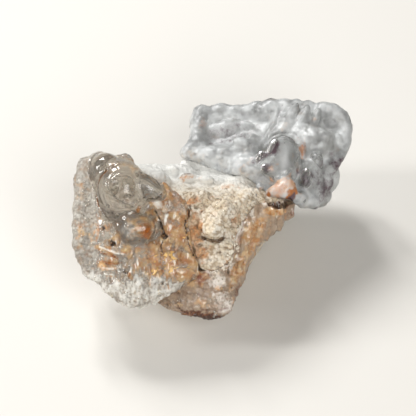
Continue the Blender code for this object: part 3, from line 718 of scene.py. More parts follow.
farLobe = {
    "firstRounds": 6,
    "cell": 0.14,
    "rounds": 3,
    "domeEdge": (1.3, 1.02),
    "domeRounds": 12,
    "domes": (
        ((7.7, 4.9, -7.9), (1.8, 2.6, 1.5), -10),  # clear nose
        ((7.3, 1.85, -6.4), (1.65, 0.75, 1.0), 22),  # the glowing lens under it
        ((6.8, 6.2, -7.1), (0.5, 0.85, 0.55), -28),  # beads round the nose
        ((5.5, 5.2, -7.4), (0.55, 0.8, 0.55), -30),
        ((6.0, 4.0, -7.0), (0.6, 0.6, 0.5), 0),
        ((5.3, 2.2, -5.6), (0.5, 0.5, 0.5), 0),
        ((4.7, 1.2, -4.6), (0.45, 0.45, 0.45), 0),
        ((11.3, 4.9, -8.8), (0.7, 0.9, 0.6), 15),
        ((10.0, 3.0, -7.7), (0.65, 0.9, 0.6), -10),
        ((9.5, 0.9, -7.4), (0.7, 0.8, 0.6), -20),
    ),
    "ridges": (
        # right, up, rise, half sizes, turn
        (2.0, 7.6, -0.5, (2.4, 1.3, 0.9), 6),  # smooth swelling under the brow
        (8.2, 9.3, -0.15, (0.5, 1.5, 0.55), -36),  # fingers over the nose
        (9.4, 9.0, -0.2, (0.55, 1.5, 0.6), -28),
        (10.7, 8.9, -0.2, (0.5, 1.2, 0.55), -20),
        (12.4, 8.6, -0.2, (0.8, 0.9, 0.6), 10),
        (13.0, 6.6, -0.25, (0.6, 1.0, 0.5), 15),
        (11.6, 7.2, -0.25, (0.7, 0.6, 0.5), 0),
        (5.6, 9.6, -0.25, (0.9, 0.8, 0.6), -20),
        (4.2, 8.0, -0.3, (1.2, 0.5, 0.5), -30),
        (3.6, 6.4, -0.3, (1.2, 0.6, 0.5), -20),
        (1.8, 5.6, -0.3, (0.9, 0.5, 0.5), 10),
        (2.4, 9.2, -0.25, (2.2, 0.45, 0.5), -6),
        (12.0, 2.6, -0.25, (0.6, 1.0, 0.5), -15),
    ),
    "knobSize": 1.15,
    "knobHeight": 0.15,
    "grainSize": 0.45,
    "grainHeight": 0.06,
    "toneSize": 0.9,
    "haze": 0.8,
    "milkSize": 1.2,
    "milk": (0.34, 0.4),  # all over, and more in clouds
    "milkEdges": (-0.35, 0.45),
    "milkOnDomes": -0.35,
    "furrows": (
        # path, width, depth, mask, strength
        (((7.4, 10.2), (7.0, 9.3), (6.9, 8.5), (6.1, 7.6), (5.9, 6.9), (5.3, 6.0), (5.2, 5.2), (4.6, 4.4)),
         0.3, 0.22, "dark", 0.3),
        (((5.9, 6.6), (6.4, 7.2), (7.1, 7.5), (7.9, 7.6), (8.7, 7.45), (9.3, 7.0), (9.6, 6.2)),
         0.22, 0.22, "dark", 0.4),
        (((9.6, 6.0), (9.7, 4.8), (9.5, 3.6), (9.3, 2.4)), 0.2, 0.16, "dark", 0.3),
        (((5.1, 4.2), (5.6, 3.2), (6.2, 2.6), (6.8, 2.6)), 0.2, 0.16, "dark", 0.3),
        (((9.6, 9.9), (9.0, 8.9), (8.4, 8.0)), 0.2, 0.16, "dark", 0.25),
        (((10.8, 9.7), (10.2, 8.6), (9.9, 7.8)), 0.2, 0.16, "dark", 0.2),
    ),
    "pits": (
        # right, up, half sizes or one for all, depth, darkness, turn
        (6.5, 6.1, (0.85, 1.4, 0.9), 0.16, 1.0, -28),
        (5.2, 5.2, (0.8, 1.1, 0.8), 0.14, 0.9, -30),
        (5.7, 4.1, (0.8, 0.8, 0.7), 0.12, 0.85, -20),
        (9.7, 3.2, (0.9, 1.5, 0.9), 0.16, 1.0, -15),
        (4.2, 6.4, (0.5, 0.7, 0.6), 0.14, 0.4, -20),
        (10.2, 6.9, (0.5, 0.4, 0.5), 0.12, 0.3, 20),
        (12.6, 8.6, (0.5, 0.4, 0.5), 0.12, 0.35, -20),
    ),
    "clearings": (
        # right, up, half sizes, strength, turn
        (-0.9, 7.6, (0.8, 2.4, 1.5), 0.4, 0),  # column at the left
        (11.7, 6.2, (1.9, 1.6, 1.6), 0.55, 0),  # pane at the right
        (7.7, 5.4, (1.6, 2.2, 1.6), 0.6, -10),  # nose
    ),
    "stains": {
        # right, up, half sizes or one for all, strength, turn
        "iron": (
            (9.4, 5.6, (0.5, 1.7, 0.9), 0.75),
            (9.5, 5.3, (0.25, 0.4, 0.5), 0.7),
        ),
        "haze": (
            (7.7, 5.2, (1.9, 2.6, 2.0), 0.5, -10),
        ),
        "dark": (
            # the next four: painted shade on the lobe's underside at the right, with its own violet tint
            (11.0, 2.6, (1.6, 2.4, 2.2), 0.45),
            (13.0, 4.3, (1.3, 1.8, 2.5), 0.75, 20),
            (11.9, 1.8, (2.0, 2.6, 2.5), 0.7),
            (11.2, 4.4, (0.8, 1.0, 1.2), 0.5),
            (2.4, 7.2, (3.6, 2.0, 2.6), 0.48),
        ),
        "milk": (
            (7.6, 5.6, (0.9, 1.8, 1.4), 0.4, -10),
            # whiter brow: milky opal, brightened also as a painted highlight
            (2.4, 9.2, (2.6, 0.7, 1.5), 0.75),
            (3.0, 4.8, (3.6, 1.2, 2.0), 0.75),
            (7.0, 10.2, (2.2, 1.0, 1.5), 0.8),
            (9.4, 7.4, (1.6, 0.9, 1.2), 0.8, 10),
            (0.2, 6.0, (1.0, 2.4, 1.4), 0.7),
            (13.3, 7.2, (1.0, 2.8, 1.8), 0.9),
            (12.8, 4.8, (0.6, 1.6, 1.5), 0.8, 20),
            (11.4, 6.4, (0.8, 0.5, 0.8), 0.9),
            (9.2, 1.0, (0.7, 0.7, 1.0), 0.8),
        ),
        "amber": (
            (7.3, 1.85, (2.9, 1.7, 2.2), 1.0, 20),
            (6.4, 1.3, (1.2, 0.8, 1.4), 0.6),
            (7.7, 8.2, (0.4, 1.0, 0.6), 0.5, -30),
            (10.6, 8.9, (0.6, 0.5, 0.6), 0.4),
            (3.6, 4.4, (1.6, 0.7, 1.2), 0.45),
            (-0.6, 8.0, (0.6, 1.6, 1.0), 0.35),
            (6.3, 3.9, (0.7, 0.4, 0.7), 0.5),
        ),
        "frost": (
            (1.5, 4.0, (3.6, 0.8, 2.0), 0.8, -4),
            (-1.5, 4.4, (2.0, 1.4, 2.0), 0.7),
        ),
    },
}


def makeFarLobe():
    plan = farLobe
    skin = startSkin("far_hyalite", "farLobe", plan)
    smooth = domeShare(skin, plan)
    evenOut(skin, smooth * evenShare, plan["domeRounds"])
    knobbly = pattern(skin, plan["knobSize"], grain, warp=0.4) - grainMiddle
    fine = pattern(skin, plan["grainSize"], grain, 3.0) - grainMiddle
    skin["masks"]["tone"] = pattern(skin, plan["toneSize"], shardTone, warp=0.4)
    lift(skin, (1 - smooth) * (knobbly * plan["knobHeight"] + fine * plan["grainHeight"]))
    cover(skin, "haze", (1 - smooth) * plan["haze"])
    clouds = ramp(pattern(skin, plan["milkSize"], wave, 7.0, warp=0.5), *plan["milkEdges"])
    cover(skin, "milk", (plan["milk"][0] + clouds * plan["milk"][1]) * (1 + plan["milkOnDomes"] * smooth))
    refresh(skin)
    carve(skin, plan)
    return skin


# Stained opal: glassy and streaky, with iron

stainedOpal = {
    "firstRounds": 3,
    "cell": 0.12,
    "rounds": 1,
    "ridges": (
        # right, up, rise, half sizes, turn
        (2.75, -6.0, -0.1, (0.75, 0.9, 0.7), 0),  # against the rock's lower corners
        (-0.5, -6.7, -0.1, (0.8, 0.65, 0.6), 10),
    ),
    "shardSize": 0.9,
    "grainSize": 0.36,
    "streakSize": 0.55,
    # depths of shards, splinters and then grains on the foot, or streaks on the flank
    "footDepths": (0.35, 0.2, 0.16),
    "flankDepths": (0.15, 0.05, 0.42),
    # the foot lies below a slanting line and a level one
    "footSlope": 0.6,
    "footBelow": ((-6.0, -7.0), (-5.0, -6.0)),
    "haze": (0.6, 0.4),  # all over, and more on the foot
    "furrows": (
        # path, width, depth, mask, strength
        (((-3.6, -9.0), (-2.4, -8.6), (-1.2, -8.5), (0.0, -8.9)), 0.2, 0.2, "iron", 0.4),
        (((-1.6, -10.6), (-0.6, -10.2), (0.8, -10.3), (2.0, -10.0)), 0.2, 0.2, "iron", 0.5),
        (((3.6, -1.2), (3.2, -2.8), (3.0, -4.6), (2.8, -6.4)), 0.2, 0.25, "iron", 0.5),
        (((5.2, -1.6), (4.6, -2.8), (4.2, -4.0), (3.6, -5.6)), 0.2, 0.2, "iron", 0.4),
    ),
    "pits": (
        # right, up, half sizes or one for all, depth, darkness, turn
        (-0.2, -8.1, 0.16, 0.2, 0.7),
        (0.9, -9.4, 0.14, 0.2, 0.7),
        (2.4, -7.6, (0.2, 0.5, 0.2), 0.25, 0.8, -10),
    ),
    "stains": {
        # right, up, half sizes or one for all, strength, turn
        "frost": (
            (1.6, -9.6, (1.6, 1.8, 1.8), 1.0, 10),
            (0.6, -7.4, (1.4, 1.2, 1.2), 0.8),
            (-0.8, -9.0, (1.4, 1.0, 1.2), 0.5),
        ),
        "milk": (
            (1.0, -7.2, (0.9, 1.1, 1.0), 1.0),
            (2.1, -9.7, (0.5, 0.9, 0.8), 0.7),
        ),
        "amber": (
            (-0.6, -6.9, (1.0, 0.7, 0.9), 1.0, 20),
            (-1.4, -7.8, (1.2, 0.5, 0.8), 0.7, 20),
            (1.0, -8.0, (0.7, 0.35, 0.6), 0.9),
            (-0.6, -9.7, 0.8, 0.6),
            (-0.5, -10.9, (2.6, 0.6, 1.2), 0.9),
            (-3.4, -9.7, (1.4, 0.3, 0.8), 0.6),
            (4.4, -3.0, (1.8, 3.4, 2.2), 0.9, -25),
            (5.4, -1.4, (2.0, 1.4, 2.0), 0.62),
            (3.2, -6.0, (1.2, 3.0, 1.8), 0.85, -15),
            (7.4, -0.2, (2.4, 1.4, 2.2), 0.8),
        ),
        "iron": (
            (2.9, -8.2, (0.5, 2.2, 1.2), 0.6, -10),
            (7.6, 0.6, (1.6, 0.9, 1.8), 0.9, 14),
            (8.6, -0.4, (1.6, 0.5, 1.8), 0.6, 20),
            # along the foot's lower edge: rust-brown, and darkened further as painted shade
            (-0.4, -11.0, (3.6, 1.0, 1.8), 1.0, -4),
            (-0.9, -7.1, (1.7, 0.8, 1.1), 0.74, 25),
        ),
        "dark": (
            # painted shade along the foot's lower edges
            (0.0, -11.1, (3.6, 0.9, 1.8), 0.85, -2),
            (-3.6, -9.6, (2.4, 0.9, 1.4), 0.5, 20),
        ),
    },
}


def makeStained():
    plan = stainedOpal
    skin = startSkin("stained_opal", "stainedOpal", plan)
    right, up, _ = layout(skin)
    slanting, level = plan["footBelow"]
    foot = ramp(up - plan["footSlope"] * right, *slanting) * ramp(up, *level)
    shards = pattern(skin, plan["shardSize"], shard, warp=0.4)
    splinters = pattern(skin, plan["grainSize"], shard, 2.0, warp=0.3)
    fine = pattern(skin, plan["grainSize"], grain) - grainMiddle
    streaks = pattern(skin, plan["streakSize"], wave, 1.0, (0.8, 4.5, 2), 0.3)
    skin["masks"]["tone"] = pattern(skin, plan["grainSize"], shardTone, 2.0, warp=0.3)
    for share, depths, third in ((foot, plan["footDepths"], fine), (1 - foot, plan["flankDepths"], streaks)):
        lift(skin, share * (shards * depths[0] + splinters * depths[1] + third * depths[2]))
    cover(skin, "haze", plan["haze"][0] + plan["haze"][1] * foot)
    refresh(skin)
    carve(skin, plan)
    return skin


# Host rock: crumbly, cream, with pores and grains

hostRock = {
    "firstRounds": 0,
    "cell": 0.13,
    "rounds": 2,
    "ridges": (
        # right, up, rise, half sizes, turn
        (-2.1, 3.0, -0.05, (0.95, 0.5, 0.55), 8),  # beads of the saddle
        (-0.3, 2.85, -0.1, (0.85, 0.42, 0.5), 0),
        (-3.6, 3.9, -0.1, (0.6, 0.4, 0.4), 0),
        (1.4, 3.3, -0.15, (0.9, 0.35, 0.4), -10),
        (0.3, 4.05, -0.05, (1.0, 0.4, 0.5), -14),  # along the far lobe
        (1.9, 3.55, -0.05, (0.9, 0.4, 0.5), -16),
        (3.3, 2.9, -0.05, (0.9, 0.4, 0.5), -28),
    ),
    "lumpSize": 0.85,
    "lumpHeight": 0.22,
    "grainSize": 0.34,
    "grainHeight": 0.22,
    "poreSize": 0.45,
    "poreDepth": 0.25,
    "poreEdges": (0.22, 0.5),
    "poreDark": 0.5,
    "worn": (1.2, 3.0),  # smoother and whiter from here up
    "wornSmoothing": 0.6,
    "boss": (0.5, -2.3, (1.5, 1.1, 1.2), -0.35),
    "furrows": (
        # path, width, depth, mask, strength
        (((-0.6, -2.9), (-0.1, -3.2), (0.5, -3.35), (1.1, -3.3), (1.6, -3.0)),
         0.28, 0.36, "dark", 0.8),  # under the boss, darkened as a painted shadow under its overhang
        (((1.7, -3.9), (2.1, -4.2), (2.5, -4.6)), 0.18, 0.28, "dark", 0.6),
        (((2.4, -1.0), (2.6, -2.2), (2.4, -3.4)), 0.2, 0.2, "dark", 0.25),
        (((-0.9, -3.0), (-0.3, -3.4), (0.3, -4.2)), 0.2, 0.2, "dark", 0.25),
    ),
    "pits": (
        # right, up, half sizes or one for all, depth, darkness, turn
        (0.2, -5.2, (0.22, 0.16, 0.2), 0.25, 0.8, 20),
        (0.6, -5.0, (0.16, 0.26, 0.2), 0.25, 0.8, 30),
        (0.5, -5.7, (0.26, 0.14, 0.18), 0.25, 0.8),
        (1.6, -1.2, (0.16, 0.2, 0.2), 0.25, 0.6),
        (2.7, -2.6, (0.2, 0.16, 0.2), 0.25, 0.8),
        (2.1, 0.3, (0.16, 0.3, 0.2), 0.2, 0.5, 20),
    ),
    "stains": {
        # right, up, half sizes or one for all, strength, turn
        "amber": (
            (-1.2, -2.2, (1.0, 1.9, 1.2), 1.0),
            (-0.6, -4.4, (1.3, 1.0, 1.0), 0.8),
            (2.8, -1.4, (0.8, 1.6, 1.0), 0.65),
            (0.4, 1.0, (2.0, 0.6, 1.0), 0.4),
            (-1.5, 0.8, 1.0, 0.7),
            (-0.4, -0.2, (0.8, 1.2, 1.0), 0.5),
            (1.4, 0.4, (1.2, 0.4, 0.8), 0.5),
            (0.6, -0.6, (1.0, 0.4, 0.8), 0.35),
            (-0.2, -4.0, (1.4, 0.4, 0.8), 0.5),
            (2.2, 2.2, (1.6, 0.5, 1.0), 0.4),
            (-2.0, 3.2, (1.5, 0.6, 0.9), 0.6, 8),
        ),
        "dark": (
            (-2.1, 3.45, (1.5, 0.36, 0.7), 0.55, 8),  # shade over the bead of the saddle
        ),
        "frost": (
            (1.0, -6.2, (0.8, 1.0, 0.8), 1.0),
            (2.2, -5.4, (0.5, 0.8, 0.8), 0.8),
            (2.6, -0.8, (0.6, 0.8, 0.8), 0.5),
        ),
    },
}


def makeRock():
    plan = hostRock
    skin = startSkin("host_rock", "hostRock", plan)
    _, up, _ = layout(skin)
    worn = ramp(up, *plan["worn"])
    lumpy = pattern(skin, plan["lumpSize"], grain, warp=0.4) - grainMiddle
    fine = pattern(skin, plan["grainSize"], grain) - grainMiddle
    pores = ramp(pattern(skin, plan["poreSize"], wave, 2.0), *plan["poreEdges"]) * (1 - worn)
    rough = lumpy * plan["lumpHeight"] + fine * plan["grainHeight"]
    lift(skin, (1 - plan["wornSmoothing"] * worn) * rough - pores * plan["poreDepth"])
    cover(skin, "dark", pores * plan["poreDark"])
    refresh(skin)
    press(skin, *plan["boss"])
    cover(skin, "milk", worn)
    carve(skin, plan)
    return skin


# Gas and water sealed in the glass: centre as seen, depth under the skin, half sizes, turn.
# The halo is a ring of gas in the main dome: centre as seen, depth, radius, thickness, share of width,
# turn, tip in radians. It bends out of its plane by some mm, and out of round by a share.
bubbles = {
    "halo": (-8.7, 2.15, 0.9, 1.3, 0.06, 0.85, 30, 0.35),
    "haloBend": 0.25,
    "haloOval": 0.12,
    "tint": "#F4F2EC",
    "nearGas": (
        (-6.9, -1.9, 1.0, (0.3, 0.24, 0.24), 30),
        (-9.9, 0.3, 0.7, (0.2, 0.2, 0.2), 0),
        (-9.0, -0.6, 0.8, (0.26, 0.2, 0.2), 20),
        (-8.2, -0.4, 0.6, (0.15, 0.15, 0.15), 0),
        (-10.4, 3.9, 0.9, (0.4, 0.4, 0.4), 0),
        (-7.2, 3.2, 0.7, (0.25, 0.2, 0.2), -40),
        (-7.9, 1.2, 0.7, (0.3, 0.16, 0.16), -30),
    ),
    "nearWater": (
        (-9.5, 2.0, 1.7, (0.6, 0.7, 0.5), 20),
        (-8.1, 2.3, 2.4, (0.5, 0.4, 0.45), -20),
    ),
    "farGas": (
        (6.5, 6.1, 0.6, (0.55, 0.95, 0.5), -28),
        (5.2, 5.1, 0.55, (0.45, 0.75, 0.45), -30),
        (5.7, 4.0, 0.55, (0.5, 0.5, 0.45), -20),
        (9.7, 3.1, 0.6, (0.55, 1.0, 0.5), -15),
        (11.1, 4.9, 0.5, (0.35, 0.45, 0.35), 20),
        (8.4, 4.4, 0.8, (0.3, 0.3, 0.3), 0),
        (7.4, 5.6, 0.8, (0.2, 0.3, 0.2), 0),
        (8.9, 6.2, 0.7, (0.22, 0.22, 0.22), 0),
    ),
}


def joinAs(made, name):
    selectOnly(*made)
    bpy.ops.object.join()
    piece = bpy.context.object
    piece.name = name
    piece.data.name = name
    bpy.ops.object.transform_apply(location=True, rotation=True, scale=True)
    bpy.ops.object.shade_smooth()
    return piece


def under(skin, right, up, depth):
    # the place that lies this deep behind the skin, as seen
    hit, _ = seen(skin, right, up)
    return hit if hit is None else Vector(hit) + (Vector(hit) - eye).normalized() * depth * mm


def addHalo(skin):
    right, up, depth, radius, thickness, width, turn, tip = bubbles["halo"]
    bpy.ops.mesh.primitive_torus_add(
        major_segments=48,
        minor_segments=8,
        major_radius=radius * mm,
        minor_radius=thickness * mm,
        location=under(skin, right, up, depth),
        rotation=turnedBy(turn, tip).to_euler(),
    )
    halo = bpy.context.object
    halo.scale = (width, 1, 1)
    for point in halo.data.vertices:
        way = math.atan2(point.co.y, point.co.x)
        point.co.z += bubbles["haloBend"] * mm * math.sin(2 * way)
        point.co.xy *= 1 + bubbles["haloOval"] * math.sin(3 * way + 1)
    return halo


def makeBubbles(skin, name):
    made = [addHalo(skin)] if name == "nearGas" else []
    for right, up, depth, half, turn in bubbles[name]:
        knob = addKnob((0, 0, 0), half, turn, 3)
        knob.location = under(skin, right, up, depth)
        made.append(knob)
    return joinAs(made, name)


def sealedIn(name, index, dullness):
    # gas or water is lighter than the opal round it, so light bends the other way at its wall
    # and it shows as a dark rim with one glint
    settings = {
        "Base Color": hexColour(bubbles["tint"]),
        "Roughness": dullness,
        "IOR": index / opalIndex,
        "Transmission Weight": 1.0,
    }
    return plainMaterial(name, settings)


# Cracks in the near lobe that iron has crept into: thin crumpled flakes just under its skin
veils = {
    "seed": 11,
    "thickness": 0.018,
    "crumple": 0.3,
    "ragged": 0.6,
    "waves": (1.4, 2.0),  # how many crumples and rags to a flake
    "areas": (
        # right, up, half width, half height, how many, smallest, largest, nearest and deepest under the skin
        (-3.6, -5.2, 0.7, 1.0, 13, 0.25, 0.6, 0.04, 0.2),
        (-5.0, -5.4, 0.6, 0.9, 10, 0.25, 0.6, 0.04, 0.2),
        (-3.0, -2.6, 0.8, 1.4, 9, 0.15, 0.4, 0.1, 0.4),
        (-5.9, -2.6, 0.6, 0.6, 4, 0.2, 0.35, 0.3, 0.9),
        (-2.0, -5.4, 0.5, 0.8, 5, 0.15, 0.35, 0.12, 0.4),
        (-9.9, -4.6, 0.9, 0.9, 7, 0.15, 0.35, 0.1, 0.4),
    ),
    "film": "#F8CC7C",
    "shine": 0.2,
    "filmIndex": 1.7,
    "through": 0.25,
}


def unitBall(finer):
    first = addKnob((0, 0, 0), (1, 1, 1), 0, finer)
    ball = first.data.copy()
    bpy.data.objects.remove(first)
    for point in ball.vertices:
        point.co = point.co.normalized()
    return ball


def makeVeils(skin):
    # each flake is a flattened ball, crumpled and turned its own way
    draw = random.Random(veils["seed"])
    made = []
    ball = unitBall(3)
    crumples, rags = veils["waves"]
    for right, up, width, height, count, least, most, near, deep in veils["areas"]:
        for _ in range(count):
            place = (right + width * draw.uniform(-1, 1), up + height * draw.uniform(-1, 1))
            size = draw.uniform(least, most)
            depth = draw.uniform(near, deep)
            turn = draw.uniform(-180, 180)
            tip = draw.uniform(-0.9, 0.9)
            slimness = draw.uniform(0.3, 0.7)
            middle = under(skin, *place, depth)
            if middle is None:
                continue
            flake = newObject("flake", ball.copy())
            for point in flake.data.vertices:
                corner = point.co.copy()
                corner.z *= veils["thickness"] / size
                crumple = noise.noise((corner.x * crumples, corner.y * crumples, turn))
                corner.z += veils["crumple"] * crumple
                corner.xy *= 1 + veils["ragged"] * noise.noise((corner.x * rags, corner.y * rags, turn + 50))
                point.co = corner
            flake.rotation_euler = turnedBy(turn, tip).to_euler()
            flake.scale = (size * mm, size * mm * slimness, size * mm)
            flake.location = middle
            made.append(flake)
    return joinAs(made, "ironVeils")


def ironFilm():
    # rust laid thinly on a crack face: golden where light strikes it square on
    settings = {
        "Base Color": hexColour(veils["film"]),
        "Roughness": veils["shine"],
        "IOR": veils["filmIndex"],
        "Transmission Weight": veils["through"],
    }
    return plainMaterial("ironFilmInCrack", settings)


# Grains and beads of clear opal that sit on the skins
grains = {
    "seed": 23,
    "clear": ("#F8EEDE", 0.06, 0.75),  # tint, gloss, how see-through
    "milky": ("#F0E6D4", 0.25, 0.2),  # the crust that bridges the seams between the pieces
    "stretch": (0.7, 1.4),
    "sunk": 0.3,  # of its size
    "seams": (
        # path, spread, how many, smallest, largest
        (((4.8, 1.6), (4.2, 0.2), (3.2, -1.4), (2.6, -3.0), (2.5, -4.6), (2.0, -5.8), (0.9, -6.2)),
         0.2, 80, 0.07, 0.17),
    ),
    "areas": (
        # right, up, half width, half height, how many, smallest, largest
        (-7.6, -8.2, 3.4, 1.2, 60, 0.07, 0.15),
        (-12.0, -1.5, 0.9, 5.0, 60, 0.06, 0.13),
        (-11.0, -6.0, 1.4, 1.6, 25, 0.06, 0.13),
        (1.0, -7.0, 0.9, 1.2, 40, 0.07, 0.17),
        (1.2, -9.8, 1.4, 1.2, 60, 0.06, 0.15),
        (-1.4, -9.4, 1.8, 1.0, 26, 0.05, 0.11),
        (2.2, -1.6, 0.9, 2.2, 22, 0.06, 0.13),
        (4.6, -0.4, 1.4, 1.8, 26, 0.06, 0.14),
        (3.6, -4.6, 1.0, 2.2, 16, 0.06, 0.12),
        (0.6, 0.8, 2.4, 1.6, 40, 0.06, 0.14),
        (-4.8, -6.6, 2.4, 1.2, 24, 0.06, 0.13),
        (-9.6, -4.6, 1.4, 1.6, 18, 0.06, 0.12),
        (-4.0, -1.2, 1.4, 2.4, 16, 0.06, 0.12),
    ),
}


def placeGrain(skins, ball, draw, place, size):
    shape = [size * mm * draw.uniform(*grains["stretch"]) for _ in range(3)]
    turn = [draw.uniform(-3, 3) for _ in range(3)]
    line = drawnLine(skins, (place, place))
    if len(line) == 0:
        return []
    knob = newObject("grain", ball.copy())
    knob.location = Vector(line[0]) - outAxis * grains["sunk"] * size * mm
    knob.rotation_euler = turn
    knob.scale = shape
    return [knob]


def inArea(draw, right, up, width, height):
    spread = draw.uniform(0, 1) ** 0.5
    way = draw.uniform(0, 2 * math.pi)
    return (right + width * spread * math.cos(way), up + height * spread * math.sin(way))


def onSeam(draw, path, spread):
    along = draw.uniform(0, len(path) - 1.001)
    right, up = between(path[int(along)], path[int(along) + 1], along % 1)
    return (right + draw.gauss(0, spread), up + draw.gauss(0, spread))


def scatter(skins, name, rows, placeIn):
    draw = random.Random(grains["seed"])
    ball = unitBall(2)
    made = []
    for *where, count, least, most in rows:
        for _ in range(count):
            place = placeIn(draw, *where)
            made += placeGrain(skins, ball, draw, place, draw.uniform(least, most))
    return joinAs(made, name)


def opalGrain(name, tint, gloss, through):
    # sugary opal: small clear drops that each throw one glint
    settings = {
        "Base Color": hexColour(tint),
        "Roughness": gloss,
        "IOR": opalIndex,
        "Transmission Weight": through,
    }
    return plainMaterial(name, settings)


# Hyalite: opal laid down as glass by hot vapour, so it is clear and wet-looking where its own skin shows,
# and frosted like ground glass where it is worn.

def glassyHyalite(name, look):
    material, tree = newMaterial(name)
    cloudy = noiseOf(tree, look["cloud"], 6.0, 0.65)
    grainy = noiseOf(tree, look["grain"], 4.0, 0.7)
    specks = noiseOf(tree, look["speck"], 2.0, 0.6)
    patches = stretched(tree, cloudy, 0.35, 0.65)
    crumbs = stretched(tree, grainy, 0.35, 0.65)
    frost = broken(tree, "frost", crumbs, *look["frostEdge"])
    amber = broken(tree, "amber", patches, *look["amberEdge"])
    haze = maskOf(tree, "haze")

    def product(one, two):
        return calculated(tree, "MULTIPLY", one, two)

    # colour: clear glass, the frosted rind over it, then stains from pale to dark, then dark specks, and pale
    # specks that are painted glints
    colour = blendColour(tree, patches, look["clear"], look["hazy"])
    rind = blendColour(tree, crumbs, look["frostDark"], look["frostPale"])
    warm = stretched(tree, cloudy, 0.46, 0.64, 0.0, look["warmShare"])
    rind = blendColour(tree, warm, rind, look["frostWarm"])
    colour = blendColour(tree, frost, colour, rind)
    streaky = stretched(tree, noiseOf(tree, look["streak"], 3.0, 0.55), 0.35, 0.65)
    byTone, byStreak = look["mottle"]
    mottle = calculated(tree, "ADD", product(maskOf(tree, "tone"), byTone), product(streaky, byStreak))
    glow = blendColour(tree, mottle, look["amberDeep"], look["amberPale"])
    colour = blendColour(tree, product(amber, look["amberShare"]), colour, glow)
    milk = broken(tree, "milk", crumbs, *look["milkEdge"])
    colour = blendColour(tree, milk, colour, look["milk"])
    for mask in ("iron", "dark"):
        found = broken(tree, mask, crumbs, *look[mask + "Edge"])
        colour = blendColour(tree, found, colour, look[mask])
    uneven = calculated(tree, "MAXIMUM", frost, product(haze, look["hazeRelief"]))
    spots = product(stretched(tree, specks, 0.6, 0.72, 0.0, look["speckShare"]), uneven)
    colour = blendColour(tree, spots, colour, look["speckColour"])
    # pale specks in frostPale: painted glints, standing in for highlights on the rough glass
    paintedGlints = product(stretched(tree, specks, 0.4, 0.3, 0.0, look["speckShare"]), uneven)
    colour = blendColour(tree, paintedGlints, colour, look["frostPale"])

    # gloss and relief: its own skin is wet-looking, frost is ground
    worn = calculated(tree, "MAXIMUM", frost, product(haze, look["hazeWear"]))
    rough = stretched(tree, worn, 0.0, 1.0, look["gloss"], look["frosting"])
    relief = addNode(tree, "ShaderNodeBump", {"Distance": look["relief"] * mm}, {"Height": grainy})
    strength = stretched(tree, uneven, 0.0, 1.0, look["smoothBump"], look["bump"])
    tree.links.new(strength, relief.inputs["Strength"])

    # clearness: frost, milk, amber and haze stop some of the light
    filled = calculated(tree, "ADD", product(frost, look["frostFill"]), milk)
    filled = calculated(tree, "ADD", product(amber, look["amberFill"]), filled)
    filled = calculated(tree, "ADD", product(haze, look["hazeFill"]), filled)
    filled = calculated(tree, "ADD", paintedGlints, filled)
    through = stretched(tree, filled, 0.0, 1.0, look["transmission"], look["leastTransmission"])
    links = {"Base Color": colour, "Roughness": rough, "Normal": relief.outputs[0]}
    links["Transmission Weight"] = through
    surface = addNode(tree, "ShaderNodeBsdfPrincipled", {"IOR": opalIndex}, links)
    tint = {"Color": hexColour(look["depthColour"]), "Density": look["depthDensity"]}
    depth = addNode(tree, "ShaderNodeVolumeAbsorption", tint)
    links = {"Surface": surface.outputs[0], "Volume": depth.outputs[0]}
    addNode(tree, "ShaderNodeOutputMaterial", links=links)
    return material


# What the three opals share, unless one says otherwise
hyalite = {
    # a stain's edge: how far a noise breaks it up, where it starts and where it is whole
    "frostEdge": (0.4, 0.3, 0.8),
    "amberEdge": (0.7, 0.2, 0.85),
    "milkEdge": (0.4, 0.1, 1.0),
    "ironEdge": (0.6, 0.2, 0.85),
    "darkEdge": (0.5, 0.2, 0.9),
    "mottle": (0.45, 0.55),  # of the amber: by broken faces, by streaks
    "grain": 0.3,  # size of the frost's grain, in mm, and the depth of its relief
    "relief": 0.08,
    "bump": 0.8,
    "speck": 0.2,  # size of specks, in mm, and how strong they are
    "speckShare": 0.6,
    "warmShare": 0.6,  # how much of frostWarm is laid on in clouds
    "amberShare": 0.9,
    # how far each stops the light, and how clear the glass stays at the least
    "frostFill": 0.5,
    "amberFill": 0.35,
    "hazeFill": 0.15,
    "leastTransmission": 0.15,
}

nearGlass = {
    **hyalite,
    "cloud": 0.9,  # size of clouds in the glass, in mm
    "streak": 0.7,  # size of streaks in the amber, in mm
    "clear": "#F4F1EA",
    "hazy": "#D8D2C8",
    "frostDark": "#948A7E",
    "frostPale": "#E8E5DC",
    "frostWarm": "#AA9480",
    "warmShare": 0.75,
    "amberDeep": "#CC8442",
    "amberPale": "#FCDA9C",
    "milk": "#EAE8E0",
    "iron": "#BE7238",
    "dark": "#3A2E28",
    "speckColour": "#6E5C4C",
    "amberShare": 0.88,
    "hazeWear": 0.1,  # how far haze dulls the gloss
    "hazeRelief": 0.28,  # how far haze roughens the surface
    "gloss": 0.04,
    "frosting": 0.34,
    "smoothBump": 0.02,
    "relief": 0.07,
    "transmission": 0.92,
    "depthColour": "#DED4C0",
    "depthDensity": 60.0,  # per m
}

farGlass = {
    **hyalite,
    "cloud": 1.3,
    "streak": 0.8,
    "grain": 0.5,
    "speck": 0.3,
    "clear": "#DADCDC",
    "hazy": "#ACACAA",
    "frostDark": "#94969A",
    "frostPale": "#CED0D0",
    "frostWarm": "#C8BCA8",
    "amberDeep": "#D08C58",
    "amberPale": "#F6CCA4",
    "milk": "#C9CBCA",
    "iron": "#B87034",
    # dark: pits and grooves, and the painted shade on the underside at the right and under the lens
    "dark": "#5E4A52",
    "speckColour": "#8E8880",
    "speckShare": 0.35,
    "hazeFill": 0.1,
    "hazeWear": 0.5,
    "hazeRelief": 0.8,
    "gloss": 0.24,
    "frosting": 0.5,
    "smoothBump": 0.05,
    "bump": 0.4,
    "transmission": 0.75,
    "amberFill": 0.5,
    "depthColour": "#D0D0CC",
    "depthDensity": 80.0,
    "milkEdge": (0.3, 0.1, 1.0),
}

